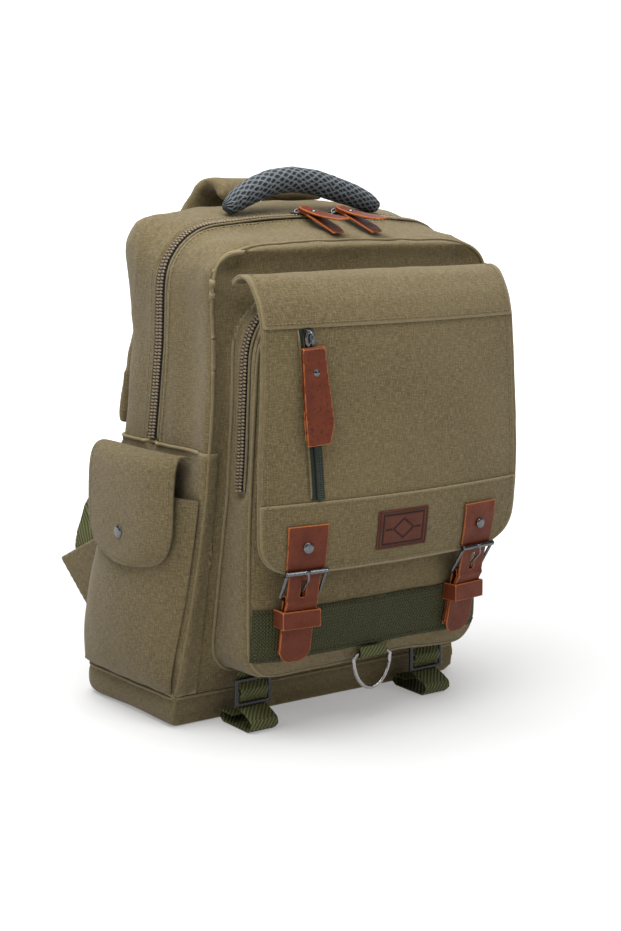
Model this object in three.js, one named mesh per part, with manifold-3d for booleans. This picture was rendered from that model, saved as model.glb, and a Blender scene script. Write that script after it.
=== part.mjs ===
// A canvas backpack: a boxed main compartment closed by a long zip, a zipped front pocket under a
// buckled flap, two bellows side pockets, shoulder straps, a padded haul handle and lashing straps.
// Millimetres, +Z up, the wearer's back towards +Y, the flap towards -Y, standing on z = 0.
import * as THREE from 'three';
import { mergeVertices } from 'three/addons/utils/BufferGeometryUtils.js';
import Module from 'manifold-3d';

const wasm = await Module();
wasm.setup();

// Main compartment
const bodyWidth = 296;
const bodyHeight = 430;
const bodyDepth = 150;
const bodySplay = 0.035;
const farOut = bodyWidth + bodyDepth;
const bodyCornerTop = 42;
const bodyCornerFoot = 8;
const bodyArch = 12;
const canvasWall = 2;
const seamGap = 0.4;
const sewnGap = 0.35;
const baseHeight = 27;

// Zips
const zipSlotWidth = 16;
const zipTapeThickness = 1.2;
const zipTeethWidth = 9;
const zipTeethHeight = 1.6;
const zipGap = 0.35;
const zipEndHeight = 246;
const sliderLength = 14;
const sliderWidth = 10;
const sliderHeight = 4.5;
const bailRadius = 1.1;
const pullWidth = 16;
const pullLength = 49;
const flapPullLength = 76;
const flapPullWidth = 25;
const flapPullNeck = 0.76;
const pullNeck = 0.64;
const leatherThickness = 1.8;

// Front pocket
const pocketWidth = 244;
const pocketFoot = 51;
const pocketHeight = 321;
const pocketDepth = 44;
const pocketCorner = 42;
const pocketCornerFoot = 14;
const pocketWall = 1.8;
const pocketCrown = 20;
const pocketZipFoot = 161;
const bandHeight = 45;
const bandLift = 18;
const bandThickness = 1.4;

// Flap
const flapWidth = 261;
const flapX = 2.5;
const flapTop = 388;
const flapDrop = 241;
const flapStand = 60;
const flapSag = 12;
const flapCorner = 30;
const flapThickness = 1.7;
const flapLayer = 1.1;
const stripDrop = 41;
const lowerBandDrop = 181;
const flapZipTopX = -88;
const flapZipFootX = -78;
const patchWidth = 52;
const patchHeight = 33;
const patchX = 3;
const patchThickness = 1.6;

// Buckled straps
const closureX = 89;
const tabWidth = 37;
const strapWidth = 29;
const tabRise = 41;
const strapTipHeight = 68;
const rollerRadius = 2.4;
const barRadius = 1.6;
const frameRadius = 1.7;
const frameInside = 32;
const frameLength = 28;
const frameLean = 0.55;
const keeperWidth = 15;
const rivetRadius = 5;
const rivetHeight = 1.6;
const holeWidth = 5;

// D-ring
const ringWidth = 39;
const ringDrop = 31;
const ringWire = 1.9;
const ringLoopWidth = 29;
const webThickness = 1.5;

// Side pockets
const sideYokeTop = 242;
const sideYokeThickness = 1.5;
const sidePocketTop = 203;
const sidePocketBulge = 17;
const sidePocketWall = 1.8;
const sideFlapWidth = 122;
const sideFlapDrop = 98;
const sideFlapCorner = 38;
const sideFlapStand = 28;
const sideFlapThickness = 2.4;
const sideFlapY = -35;
const snapRadius = 6;

// Carrying
const handleSpan = 160;
const handleX = 4;
const handleLift = 5;
const handleRise = 26;
const handleRadius = 12;
const handleY = -44;
const shoulderWidth = 62;
const shoulderThickness = 12;
const harnessWebWidth = 30;
const wingReach = 58;
const wingHeight = 92;
const wingFoot = 60;
const wingThickness = 3.2;

// Lashing straps under the pocket
const lashX = 94;
const lashWidth = 28;
const glideLength = 25;
const glideThickness = 3;
const glideBar = 3.6;

// Where the compartment's front and back stand at each height, as shares of its depth, and how wide it is
const bodyRows = [
  { at: 0.0, front: -0.49, back: 0.47, half: 1.05 },
  { at: 0.05, front: -0.53, back: 0.51, half: 1.06 },
  { at: 0.15, front: -0.6, back: 0.47, half: 1.03 },
  { at: 0.27, front: -0.667, back: 0.38, half: 1.0 },
  { at: 0.42, front: -0.747, back: 0.24, half: 0.975 },
  { at: 0.58, front: -0.82, back: 0.11, half: 0.965 },
  { at: 0.78, front: -0.84, back: 0.055, half: 0.96 },
  { at: 0.93, front: -0.86, back: 0.08, half: 0.985 },
  { at: 1.03, front: -0.86, back: 0.08, half: 0.985 },
];
// The compartment's rings from the back panel's middle to the front panel's: width, foot and top as
// shares of the whole, and how far their corners turn and their tops arch
const bodyRings = [
  { depth: 1.03, wide: 0.03, foot: 0.49, top: 0.51, turn: 0.01, arch: 0 },
  { depth: 1.01, wide: 0.75, foot: 0.12, top: 0.89, turn: 0.5, arch: 0.5 },
  { depth: 1.0, wide: 0.93, foot: 0.02, top: 0.998, turn: 0.55, arch: 1 },
  { depth: 0.965, wide: 0.985, foot: 0.004, top: 1.018, turn: 0.6, arch: 1.1 },
  { depth: 0.88, wide: 1.0, foot: 0, top: 1.026, turn: 0.65, arch: 1.1 },
  { depth: 0.47, wide: 1.0, foot: 0, top: 1.0, turn: 1, arch: 1 },
  { depth: 0.07, wide: 1.0, foot: 0, top: 0.957, turn: 0.7, arch: 0.25 },
  { depth: 0.0, wide: 0.992, foot: 0, top: 0.95, turn: 0.65, arch: 0.2 },
  { depth: 0.012, wide: 0.968, foot: 0.006, top: 0.94, turn: 0.6, arch: 0.2 },
  { depth: 0.035, wide: 0.935, foot: 0.02, top: 0.93, turn: 0.55, arch: 0.2 },
  { depth: 0.0, wide: 0.78, foot: 0.1, top: 0.84, turn: 0.5, arch: 0.2 },
  { depth: -0.02, wide: 0.03, foot: 0.46, top: 0.48, turn: 0.01, arch: 0 },
];
// How far the long zip lies from the front, as a share of the depth at each height
const zipRows = [
  { at: 0.0, depth: 0.58 },
  { at: 0.58, depth: 0.62 },
  { at: 0.78, depth: 0.57 },
  { at: 0.93, depth: 0.5 },
  { at: 1.02, depth: 0.47 },
];
// The pocket's front edge at each height, as a share of its depth beyond the compartment's front
const pocketRows = [
  { at: 0.0, front: 1.28 },
  { at: 0.22, front: 1.0 },
  { at: 0.5, front: 0.72 },
  { at: 0.78, front: 0.7 },
  { at: 0.93, front: 0.92 },
  { at: 1.0, front: 0.95 },
];
const pocketRings = [
  { depth: -0.5, size: 1.0 },
  { depth: 0.5, size: 1.0 },
  { depth: 0.93, size: 1.0 },
  { depth: 1.0, size: 0.975, crown: 0.05 },
  { depth: 1.0, size: 0.88, crown: 0.36 },
  { depth: 1.0, size: 0.6, crown: 0.85 },
  { depth: 1.0, size: 0.03, crown: 1.0 },
];
// The flap's profile: how far it stands off the compartment and how far it has dropped, as shares
const flapRows = [
  { out: 0.06, drop: 0.028, wide: 0.99 },
  { out: 0.18, drop: 0.008, wide: 0.99 },
  { out: 0.4, drop: 0.0, wide: 0.99 },
  { out: 0.62, drop: 0.018, wide: 0.99 },
  { out: 0.84, drop: 0.09, wide: 0.985 },
  { out: 0.95, drop: 0.17, wide: 0.985 },
  { out: 1.0, drop: 0.33, wide: 1.0 },
  { out: 1.02, drop: 0.5, wide: 1.015 },
  { out: 1.03, drop: 0.65, wide: 1.03 },
  { out: 1.02, drop: 0.78, wide: 1.03 },
  { out: 0.99, drop: 0.87, wide: 1.025 },
  { out: 0.95, drop: 0.93, wide: 1.02 },
  { out: 0.91, drop: 0.975, wide: 1.01 },
  { out: 0.89, drop: 1.0, wide: 1.01 },
];
// The side pocket's fullness from its front seam to its back seam, and from its foot to its mouth
const sideAcross = [
  { at: 0.0, full: 0.0 },
  { at: 0.12, full: 0.5 },
  { at: 0.32, full: 0.88 },
  { at: 0.6, full: 1.0 },
  { at: 0.85, full: 0.8 },
  { at: 0.95, full: 0.5 },
  { at: 1.0, full: 0.12 },
];
const sideUp = [
  { at: 0.0, full: 0.3 },
  { at: 0.12, full: 0.62 },
  { at: 0.4, full: 0.95 },
  { at: 0.75, full: 1.0 },
  { at: 1.0, full: 0.85 },
];
// The side flap's profile: stand-off and drop as shares
const sideFlapRows = [
  { out: 0.0, drop: 0.05 },
  { out: 0.22, drop: 0.0 },
  { out: 0.6, drop: 0.0 },
  { out: 0.88, drop: 0.07 },
  { out: 0.98, drop: 0.25 },
  { out: 1.02, drop: 0.5 },
  { out: 1.02, drop: 0.7 },
  { out: 1.0, drop: 0.86 },
  { out: 0.98, drop: 0.95 },
  { out: 0.97, drop: 1.0 },
];
// The shoulder strap's middle line: from its seam at the back panel's top, up, over and down behind
const shoulderRows = [
  { across: 0.2, back: -0.13, up: 0.985, wide: 0.88 },
  { across: 0.2, back: -0.08, up: 1.04, wide: 0.9 },
  { across: 0.21, back: 0.0, up: 1.063, wide: 0.93 },
  { across: 0.25, back: 0.1, up: 1.045, wide: 1.0 },
  { across: 0.33, back: 0.18, up: 0.98, wide: 1.0 },
  { across: 0.44, back: 0.24, up: 0.89, wide: 1.0 },
  { across: 0.55, back: 0.29, up: 0.78, wide: 1.0 },
  { across: 0.62, back: 0.33, up: 0.67, wide: 0.96 },
  { across: 0.66, back: 0.36, up: 0.56, wide: 0.88 },
];
// The haul handle's middle line: along its span from the left end, and how far it has risen
const handleRows = [
  { at: -1.0, rise: 0.0, thick: 0.55 },
  { at: -0.86, rise: 0.34, thick: 0.85 },
  { at: -0.66, rise: 0.66, thick: 1.0 },
  { at: -0.42, rise: 0.92, thick: 1.02 },
  { at: -0.15, rise: 1.0, thick: 1.02 },
  { at: 0.15, rise: 0.9, thick: 1.0 },
  { at: 0.42, rise: 0.66, thick: 0.98 },
  { at: 0.66, rise: 0.45, thick: 0.92 },
  { at: 0.86, rise: 0.22, thick: 0.8 },
  { at: 1.0, rise: 0.0, thick: 0.55 },
];

// Finishes
const canvas = new THREE.MeshStandardMaterial({ color: 0x776b4b, roughness: 0.95, metalness: 0 });
const webbing = new THREE.MeshStandardMaterial({ color: 0x39431f, roughness: 0.85, metalness: 0 });
const leather = new THREE.MeshStandardMaterial({ color: 0x8c4329, roughness: 0.6, metalness: 0 });
const gunmetal = new THREE.MeshStandardMaterial({ color: 0x55575a, roughness: 0.25, metalness: 1 });
const padMesh = new THREE.MeshStandardMaterial({ color: 0x41474c, roughness: 0.9, metalness: 0 });
const bronzeZip = new THREE.MeshStandardMaterial({ color: 0x5a4b3a, roughness: 0.5, metalness: 0.3 });
const greenZip = new THREE.MeshStandardMaterial({ color: 0x26301f, roughness: 0.5, metalness: 0.1 });
const blackPlastic = new THREE.MeshStandardMaterial({ color: 0x1b1b1a, roughness: 0.45, metalness: 0 });

const model = new THREE.Group();

function toSolid(geometry) {
  const bare = new THREE.BufferGeometry().setAttribute('position', geometry.getAttribute('position'));
  if (geometry.index) bare.setIndex(geometry.index);
  const merged = mergeVertices(bare, 1e-4);
  return new wasm.Manifold(new wasm.Mesh({
    numProp: 3,
    vertProperties: new Float32Array(merged.getAttribute('position').array),
    triVerts: new Uint32Array(merged.index.array),
  }));
}

function toGeometry(solid) {
  const mesh = solid.getMesh();
  const positions = new Float32Array(mesh.numVert * 3);
  for (let i = 0; i < mesh.numVert; i++) {
    positions.set(mesh.vertProperties.subarray(i * mesh.numProp, i * mesh.numProp + 3), i * 3);
  }
  const geometry = new THREE.BufferGeometry();
  geometry.setAttribute('position', new THREE.BufferAttribute(positions, 3));
  geometry.setIndex(new THREE.BufferAttribute(mesh.triVerts, 1));
  return geometry;
}

function moved(solid, place) {
  return toSolid(toGeometry(solid).applyMatrix4(place));
}

function addPiece(name, solid, material, place) {
  const geometry = toGeometry(solid);
  geometry.computeVertexNormals();
  const piece = new THREE.Mesh(geometry, material);
  if (place) piece.applyMatrix4(place);
  piece.name = name;
  model.add(piece);
}

// A column of a table at any place along it, by a smooth curve through its rows
function readRows(rows, column, at) {
  const last = rows.length - 1;
  if (at <= rows[0].at) return rows[0][column];
  if (at >= rows[last].at) return rows[last][column];
  let i = 0;
  while (at > rows[i + 1].at) i++;
  const slope = (k) => {
    const a = rows[Math.max(k - 1, 0)];
    const b = rows[Math.min(k + 1, last)];
    return (b[column] - a[column]) / (b.at - a.at);
  };
  const run = rows[i + 1].at - rows[i].at;
  const t = (at - rows[i].at) / run;
  const rise = rows[i + 1][column] - rows[i][column];
  const ease = t * t * (3 - 2 * t);
  return rows[i][column] + ease * rise + run * t * (1 - t) * ((1 - t) * slope(i) - t * slope(i + 1));
}

// A rounded rectangle's points in x and z, the same number whatever its sizes, from the foot's middle
function outline(half, foot, top, cornerFoot, cornerTop, arch, steps) {
  const points = [];
  const run = (x0, z0, x1, z1, count) => {
    for (let i = 0; i < count; i++) {
      points.push([x0 + ((x1 - x0) * i) / count, z0 + ((z1 - z0) * i) / count]);
    }
  };
  const turn = (cx, cz, radius, from, count) => {
    for (let i = 0; i < count; i++) {
      const a = from + ((Math.PI / 2) * i) / count;
      points.push([cx + radius * Math.cos(a), cz + radius * Math.sin(a)]);
    }
  };
  run(0, foot, half - cornerFoot, foot, steps.flat);
  turn(half - cornerFoot, foot + cornerFoot, cornerFoot, -Math.PI / 2, steps.foot);
  run(half, foot + cornerFoot, half, top - cornerTop, steps.side);
  turn(half - cornerTop, top - cornerTop, cornerTop, 0, steps.corner);
  run(half - cornerTop, top, -(half - cornerTop), top, 2 * steps.flat);
  turn(-(half - cornerTop), top - cornerTop, cornerTop, Math.PI / 2, steps.corner);
  run(-half, top - cornerTop, -half, foot + cornerFoot, steps.side);
  turn(-(half - cornerFoot), foot + cornerFoot, cornerFoot, Math.PI, steps.foot);
  run(-(half - cornerFoot), foot, 0, foot, steps.flat);
  const middle = (foot + top) / 2;
  return points.map(([x, z]) => [x, z > middle ? z - arch * (x / half) ** 2 : z]);
}

// A closed skin through rings of points, moved out along its own normals
function ringSolid(rings, grow) {
  const count = rings[0].length;
  const positions = rings.flat().flatMap((p) => [p.x, p.y, p.z]);
  const index = [];
  for (let r = 0; r + 1 < rings.length; r++) {
    for (let i = 0; i < count; i++) {
      const a = r * count + i;
      const b = r * count + ((i + 1) % count);
      index.push(a, b, b + count, a, b + count, a + count);
    }
  }
  for (let i = 1; i + 1 < count; i++) {
    const far = (rings.length - 1) * count;
    index.push(0, i + 1, i, far, far + i, far + i + 1);
  }
  const geometry = new THREE.BufferGeometry();
  geometry.setAttribute('position', new THREE.Float32BufferAttribute(positions, 3));
  geometry.setIndex(index);
  geometry.computeVertexNormals();
  const place = geometry.getAttribute('position');
  const normal = geometry.getAttribute('normal');
  for (let i = 0; i < place.count; i++) {
    place.setXYZ(
      i,
      place.getX(i) + grow * normal.getX(i),
      place.getY(i) + grow * normal.getY(i),
      place.getZ(i) + grow * normal.getZ(i),
    );
  }
  return toSolid(geometry);
}

// A sheet of even thickness behind a grid of points, rows first
function sheetSolid(grid, thickness, lift = 0) {
  const rows = grid.length;
  const columns = grid[0].length;
  const normalAt = (i, j) => {
    const down = grid[Math.min(i + 1, rows - 1)][j].clone().sub(grid[Math.max(i - 1, 0)][j]);
    const across = grid[i][Math.min(j + 1, columns - 1)].clone().sub(grid[i][Math.max(j - 1, 0)]);
    return across.cross(down).normalize();
  };
  const positions = [];
  for (const shift of [lift, lift - thickness]) {
    for (let i = 0; i < rows; i++) {
      for (let j = 0; j < columns; j++) {
        const p = grid[i][j].clone().addScaledVector(normalAt(i, j), -shift);
        positions.push(p.x, p.y, p.z);
      }
    }
  }
  const index = [];
  const back = rows * columns;
  const quad = (a, b, c, d) => index.push(a, b, c, a, c, d);
  for (let i = 0; i + 1 < rows; i++) {
    for (let j = 0; j + 1 < columns; j++) {
      const a = i * columns + j;
      quad(a, a + columns, a + columns + 1, a + 1);
      quad(back + a, back + a + 1, back + a + columns + 1, back + a + columns);
    }
  }
  const edge = [];
  for (let j = 0; j + 1 < columns; j++) edge.push(j);
  for (let i = 0; i + 1 < rows; i++) edge.push(i * columns + columns - 1);
  for (let j = columns - 1; j > 0; j--) edge.push((rows - 1) * columns + j);
  for (let i = rows - 1; i > 0; i--) edge.push(i * columns);
  edge.forEach((a, k) => {
    const b = edge[(k + 1) % edge.length];
    quad(a, b, back + b, back + a);
  });
  const geometry = new THREE.BufferGeometry();
  geometry.setAttribute('position', new THREE.Float32BufferAttribute(positions, 3));
  geometry.setIndex(index);
  return toSolid(geometry);
}

// A section, given in each frame's side and out directions, swept along frames; closed joins the ends
function sweep(frames, section, closed = false) {
  const count = section(0).length;
  const positions = frames.flatMap((f, k) =>
    section(k / (frames.length - 1)).flatMap(([s, o]) => {
      const p = f.at.clone().addScaledVector(f.side, s).addScaledVector(f.out, o);
      return [p.x, p.y, p.z];
    }));
  const index = [];
  const joints = closed ? frames.length : frames.length - 1;
  for (let k = 0; k < joints; k++) {
    const next = (k + 1) % frames.length;
    for (let i = 0; i < count; i++) {
      const a = k * count + i;
      const b = k * count + ((i + 1) % count);
      const c = next * count + ((i + 1) % count);
      const d = next * count + i;
      index.push(a, b, c, a, c, d);
    }
  }
  if (!closed) {
    const far = (frames.length - 1) * count;
    for (let i = 1; i + 1 < count; i++) {
      index.push(0, i + 1, i, far, far + i, far + i + 1);
    }
  }
  const geometry = new THREE.BufferGeometry();
  geometry.setAttribute('position', new THREE.Float32BufferAttribute(positions, 3));
  geometry.setIndex(index);
  return toSolid(geometry);
}

// Frames along points, with the out direction nearest to the one wanted at each point
function framesAlong(points, outAt, closed = false) {
  const n = points.length;
  return points.map((p, i) => {
    const before = closed ? points[(i + n - 1) % n] : points[Math.max(i - 1, 0)];
    const after = closed ? points[(i + 1) % n] : points[Math.min(i + 1, n - 1)];
    const along = after.clone().sub(before).normalize();
    const wanted = outAt(i, p);
    const side = along.clone().cross(wanted).normalize();
    return { at: p, side, out: side.clone().cross(along).normalize() };
  });
}

function flatSection(halfWidth, low, high) {
  return () => [[-halfWidth, low], [-halfWidth, high], [halfWidth, high], [halfWidth, low]];
}

// A zip's section: flat tape with the closed teeth standing on it
function zipSection(tapeHalf, teethHalf) {
  const low = -0.2 - zipTapeThickness;
  const high = zipTeethHeight - 0.2;
  return () => [
    [-tapeHalf, low], [-tapeHalf, -0.2], [-teethHalf, -0.2], [-teethHalf, high],
    [teethHalf, high], [teethHalf, -0.2], [tapeHalf, -0.2], [tapeHalf, low],
  ];
}

function roundSection(radius, sides) {
  return () => Array.from({ length: sides }, (_, i) => {
    const a = (-2 * Math.PI * i) / sides;
    return [radius * Math.cos(a), radius * Math.sin(a)];
  });
}

function box(x0, x1, y0, y1, z0, z1) {
  const shape = new THREE.BoxGeometry(x1 - x0, y1 - y0, z1 - z0);
  return toSolid(shape.translate((x0 + x1) / 2, (y0 + y1) / 2, (z0 + z1) / 2));
}

// A flat outline in y and z, as thick as from x0 to x1
function sideBlock(points, x0, x1) {
  const shape = new THREE.Shape(points.map(([y, z]) => new THREE.Vector2(y, z)));
  const block = new THREE.ExtrudeGeometry(shape, { depth: x1 - x0, bevelEnabled: false });
  const turn = new THREE.Matrix4().makeBasis(
    new THREE.Vector3(0, 1, 0),
    new THREE.Vector3(0, 0, 1),
    new THREE.Vector3(1, 0, 0),
  );
  return toSolid(block.applyMatrix4(turn).translate(x0, 0, 0));
}

function cylinderAlong(axis, radius, length, sides, x, y, z) {
  const rod = new THREE.CylinderGeometry(radius, radius, length, sides);
  if (axis === 'x') rod.rotateZ(Math.PI / 2);
  if (axis === 'z') rod.rotateX(Math.PI / 2);
  return toSolid(rod.translate(x, y, z));
}

// A domed stud on a plate, pointing along the given direction
function stud(radius, height, at, direction) {
  const profile = [[0, 0], [radius, 0], [radius, 0.35 * height], [0.72 * radius, 0.85 * height], [0, height]];
  const dome = new THREE.LatheGeometry(profile.map(([x, y]) => new THREE.Vector2(x, y)), 10);
  dome.applyQuaternion(new THREE.Quaternion().setFromUnitVectors(new THREE.Vector3(0, 1, 0), direction));
  return toSolid(dome.translate(at.x, at.y, at.z));
}

const bodyHalf = bodyWidth / 2;
const bodySteps = { flat: 3, foot: 1, side: 6, corner: 4 };
const frontY = (z) => bodyDepth * readRows(bodyRows, 'front', z / bodyHeight);
const backY = (z) => bodyDepth * readRows(bodyRows, 'back', z / bodyHeight);
const bodyHalfAt = (z) => bodyHalf * readRows(bodyRows, 'half', z / bodyHeight);
const zipY = (z) => {
  const share = readRows(zipRows, 'depth', z / bodyHeight);
  return frontY(z) + (backY(z) - frontY(z)) * share;
};

function bodyForm(grow) {
  const rings = bodyRings.map(({ depth, wide, foot, top, turn, arch }) => {
    const points = outline(
      bodyHalf * wide, bodyHeight * foot, bodyHeight * top,
      bodyCornerFoot * turn, bodyCornerTop * turn, bodyArch * arch, bodySteps,
    );
    return points.map(([x, z]) => {
      const y = frontY(z) + (backY(z) - frontY(z)) * depth;
      return new THREE.Vector3(((x * bodyHalfAt(z)) / bodyHalf) * (1 + bodySplay * depth), y, z);
    });
  });
  return ringSolid(rings, grow);
}

// The part of space behind the long zip's line, and the part before it
function zipSide(behind, gap) {
  const reach = farOut;
  const line = [];
  const steps = 8;
  for (let i = 0; i <= steps; i++) {
    const z = -20 + (i * (bodyHeight + 60)) / steps;
    line.push([zipY(z) + (behind ? gap / 2 : -gap / 2), z]);
  }
  const far = behind ? reach : -reach;
  line.push([far, line[steps][1]], [far, line[0][1]]);
  return sideBlock(behind ? line.reverse() : line, -reach, reach);
}

// The long zip's frames: up the left side, over the top and down the right side
function bodyZipFrames(endHeight) {
  const top = bodyHeight;
  const ring = outline(bodyHalf, 0, top, bodyCornerFoot, bodyCornerTop, bodyArch, {
    flat: 2, foot: 1, side: 8, corner: 6,
  });
  const arc = ring.filter(([, z]) => z > endHeight + 4).reverse();
  const ends = [[-bodyHalf, endHeight], ...arc, [bodyHalf, endHeight]];
  const points = ends.map(([x, z]) => {
    const depth = readRows(zipRows, 'depth', z / bodyHeight);
    return new THREE.Vector3(((x * bodyHalfAt(z)) / bodyHalf) * (1 + bodySplay * depth), zipY(z), z);
  });
  return framesAlong(points, (i) => {
    const before = points[Math.max(i - 1, 0)];
    const after = points[Math.min(i + 1, points.length - 1)];
    return new THREE.Vector3(before.z - after.z, 0, after.x - before.x);
  });
}

function buildBody() {
  const skin = bodyForm(0).subtract(bodyForm(-canvasWall));
  const slotFrames = bodyZipFrames(zipEndHeight);
  const slot = sweep(slotFrames, flatSection(zipSlotWidth / 2, -8, 8));
  const high = box(-farOut, farOut, -farOut, farOut, baseHeight, 2 * farOut);
  const low = box(-farOut, farOut, -farOut, farOut, -farOut, baseHeight - seamGap);
  const upper = skin.intersect(high).subtract(slot);
  addPiece('rear_body', upper.intersect(zipSide(true, seamGap)), canvas);
  addPiece('front_body', upper.intersect(zipSide(false, seamGap)), canvas);
  addPiece('base_panel', skin.intersect(low), canvas);

  const zipFrames = bodyZipFrames(zipEndHeight + zipGap);
  const section = zipSection(zipSlotWidth / 2 - zipGap, zipTeethWidth / 2);
  addPiece('main_zip', sweep(zipFrames, section), bronzeZip);
}

// A slider's body with its pull bail, centred on x, resting above the zip's teeth
function sliderSolid(length, width, height) {
  const half = width / 2;
  const outlinePoints = [
    [-0.5 * length, 0.62 * half], [-0.1 * length, half], [0.3 * length, 0.92 * half],
    [0.5 * length, 0.55 * half], [0.5 * length, -0.55 * half], [0.3 * length, -0.92 * half],
    [-0.1 * length, -half], [-0.5 * length, -0.62 * half],
  ];
  const shape = new THREE.Shape(outlinePoints.map(([x, y]) => new THREE.Vector2(x, y)));
  const plate = new THREE.ExtrudeGeometry(shape, { depth: 0.45 * height, bevelEnabled: false });
  const bailPoints = Array.from({ length: 6 }, (_, i) => {
    const a = (Math.PI * i) / 5;
    return new THREE.Vector3(0.36 * length * Math.cos(a), 0, 0.4 * height + 0.62 * height * Math.sin(a));
  });
  const bail = sweep(framesAlong(bailPoints, () => new THREE.Vector3(0, 1, 0)), roundSection(bailRadius, 5));
  return toSolid(plate).add(bail);
}

// A folded leather pull: two leaves joined by a fold round its ring, pointing along +x, leaves in z
function pullSolid(length, width, spread, neck) {
  const t = leatherThickness;
  const fold = t / 2 + bailRadius;
  const points = [];
  const count = 5;
  for (let i = 0; i <= count; i++) {
    const s = 1 - i / count;
    points.push(new THREE.Vector3(fold + s * (length - fold), 0, fold * 0.55 + spread * s ** 1.6));
  }
  for (const a of [120, 180, 240]) {
    const r = (a * Math.PI) / 180;
    points.push(new THREE.Vector3(fold * Math.cos(r), 0, fold * Math.sin(r)));
  }
  for (let i = 0; i <= count; i++) {
    const s = i / count;
    const reach = length * 0.94 - fold;
    points.push(new THREE.Vector3(fold + s * reach, 0, -fold * 0.55 - spread * 0.45 * s ** 1.6));
  }
  const frames = framesAlong(points, (i) => {
    const a = points[Math.max(i - 1, 0)];
    const b = points[Math.min(i + 1, points.length - 1)];
    return new THREE.Vector3(-(b.z - a.z), 0, b.x - a.x);
  });
  return sweep(frames, (k) => {
    const end = Math.min(k, 1 - k) * 2;
    const half = (width / 2) * (0.5 * (1 + neck) + 0.5 * (1 - neck) * Math.cos(Math.PI * Math.min(end, 1)));
    const slant = end < 0.06 ? 0.6 : 1;
    return [[-half * slant, -t / 2], [-half * slant, t / 2], [half, t / 2], [half, -t / 2]];
  });
}

// Where a piece built at the origin goes, by the directions its own x and z are to point in
function placeAt(at, xAxis, zAxis) {
  const x = xAxis.clone().normalize();
  const y = zAxis.clone().cross(x).normalize();
  const z = x.clone().cross(y);
  return new THREE.Matrix4().makeBasis(x, y, z).setPosition(at);
}

function buildTopSliders() {
  const lift = zipTeethHeight;
  const places = [
    { side: 'left', x: -13, pull: new THREE.Vector3(0.2, -1, -0.34), spread: 7.5 },
    { side: 'right', x: 26, pull: new THREE.Vector3(0.24, -1, -0.34), spread: 7.5 },
  ];
  for (const { side, x, pull, spread } of places) {
    const y = zipY(bodyHeight);
    const z = bodyHeight - bodyArch * (x / bodyHalf) ** 2 + lift;
    const slider = sliderSolid(sliderLength, sliderWidth, sliderHeight);
    const along = new THREE.Vector3(side === 'left' ? 1 : -1, 0, 0);
    const sliderPlace = placeAt(new THREE.Vector3(x, y, z), along, new THREE.Vector3(0, 0, 1));
    addPiece(`main_slider_${side}`, slider, gunmetal, sliderPlace);
    const start = new THREE.Vector3(x, y - 0.55 * sliderWidth - leatherThickness, z + sliderHeight);
    const leaf = pullSolid(pullLength, pullWidth, spread, pullNeck);
    addPiece(`main_pull_${side}`, leaf, leather, placeAt(start, pull, new THREE.Vector3(0, pull.z, 1)));
  }
}

const pocketHalf = pocketWidth / 2;
const pocketTop = pocketFoot + pocketHeight;
const pocketSteps = { flat: 3, foot: 1, side: 5, corner: 3 };
const pocketFrontY = (z) => {
  const share = readRows(pocketRows, 'front', (z - pocketFoot) / pocketHeight);
  return frontY(z) - pocketDepth * share;
};
const pocketZipY = (z) => 0.5 * (frontY(z) + pocketFrontY(z));

function pocketForm(grow) {
  const middle = pocketFoot + pocketHeight / 2;
  const full = outline(
    pocketHalf, pocketFoot, pocketTop, pocketCornerFoot, pocketCorner, 4, pocketSteps,
  );
  const rings = pocketRings.map(({ depth, size, crown = 0 }) => full.map(([x, z]) => {
    const height = middle + (z - middle) * size;
    const y = frontY(height) + (pocketFrontY(height) - frontY(height)) * depth;
    return new THREE.Vector3(x * size, y - pocketCrown * crown, height);
  }));
  return ringSolid(rings, grow);
}

function pocketZipFrames(endHeight) {
  const ring = outline(pocketHalf, pocketFoot, pocketTop, pocketCornerFoot, pocketCorner, 4, {
    flat: 2, foot: 1, side: 6, corner: 5,
  });
  const arc = ring.filter(([, z]) => z > endHeight + 4).reverse();
  const ends = [[-pocketHalf, endHeight], ...arc, [pocketHalf, endHeight]];
  const points = ends.map(([x, z]) => new THREE.Vector3(x, pocketZipY(z), z));
  return framesAlong(points, (i) => {
    const before = points[Math.max(i - 1, 0)];
    const after = points[Math.min(i + 1, points.length - 1)];
    return new THREE.Vector3(before.z - after.z, 0, after.x - before.x).normalize();
  });
}

const bandLow = pocketFoot + bandLift;
const bandHigh = bandLow + bandHeight;

function buildPocket() {
  const hollow = pocketForm(0).subtract(pocketForm(-pocketWall)).subtract(bodyForm(sewnGap));
  const end = pocketFoot + pocketZipFoot;
  const slotHalf = (0.8 * zipSlotWidth) / 2;
  const slot = sweep(pocketZipFrames(end), flatSection(slotHalf, -7, 7));
  addPiece('front_pocket', hollow.subtract(slot), canvas);
  const frames = pocketZipFrames(end + zipGap);
  addPiece('pocket_zip', sweep(frames, zipSection(slotHalf - zipGap, 0.4 * zipTeethWidth)), bronzeZip);

  const bandSkin = pocketForm(sewnGap + bandThickness).subtract(pocketForm(sewnGap));
  const bandHalf = pocketHalf - 3;
  const bandBlock = box(-bandHalf, bandHalf, -farOut, pocketFrontY(bandLow) + 6, bandLow, bandHigh);
  addPiece('webbing_band', bandSkin.intersect(bandBlock), webbing);
}

// How far out the pocket's front stands at a place across it
function pocketFaceY(x, z) {
  const middle = pocketFoot + pocketHeight / 2;
  const size = Math.max(Math.abs(x) / pocketHalf, Math.abs(z - middle) / (pocketHeight / 2));
  const sized = pocketRings.filter((r) => r.crown !== undefined)
    .map((r) => ({ at: r.size, crown: r.crown })).reverse();
  return pocketFrontY(z) - pocketCrown * readRows(sized, 'crown', size);
}

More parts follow.
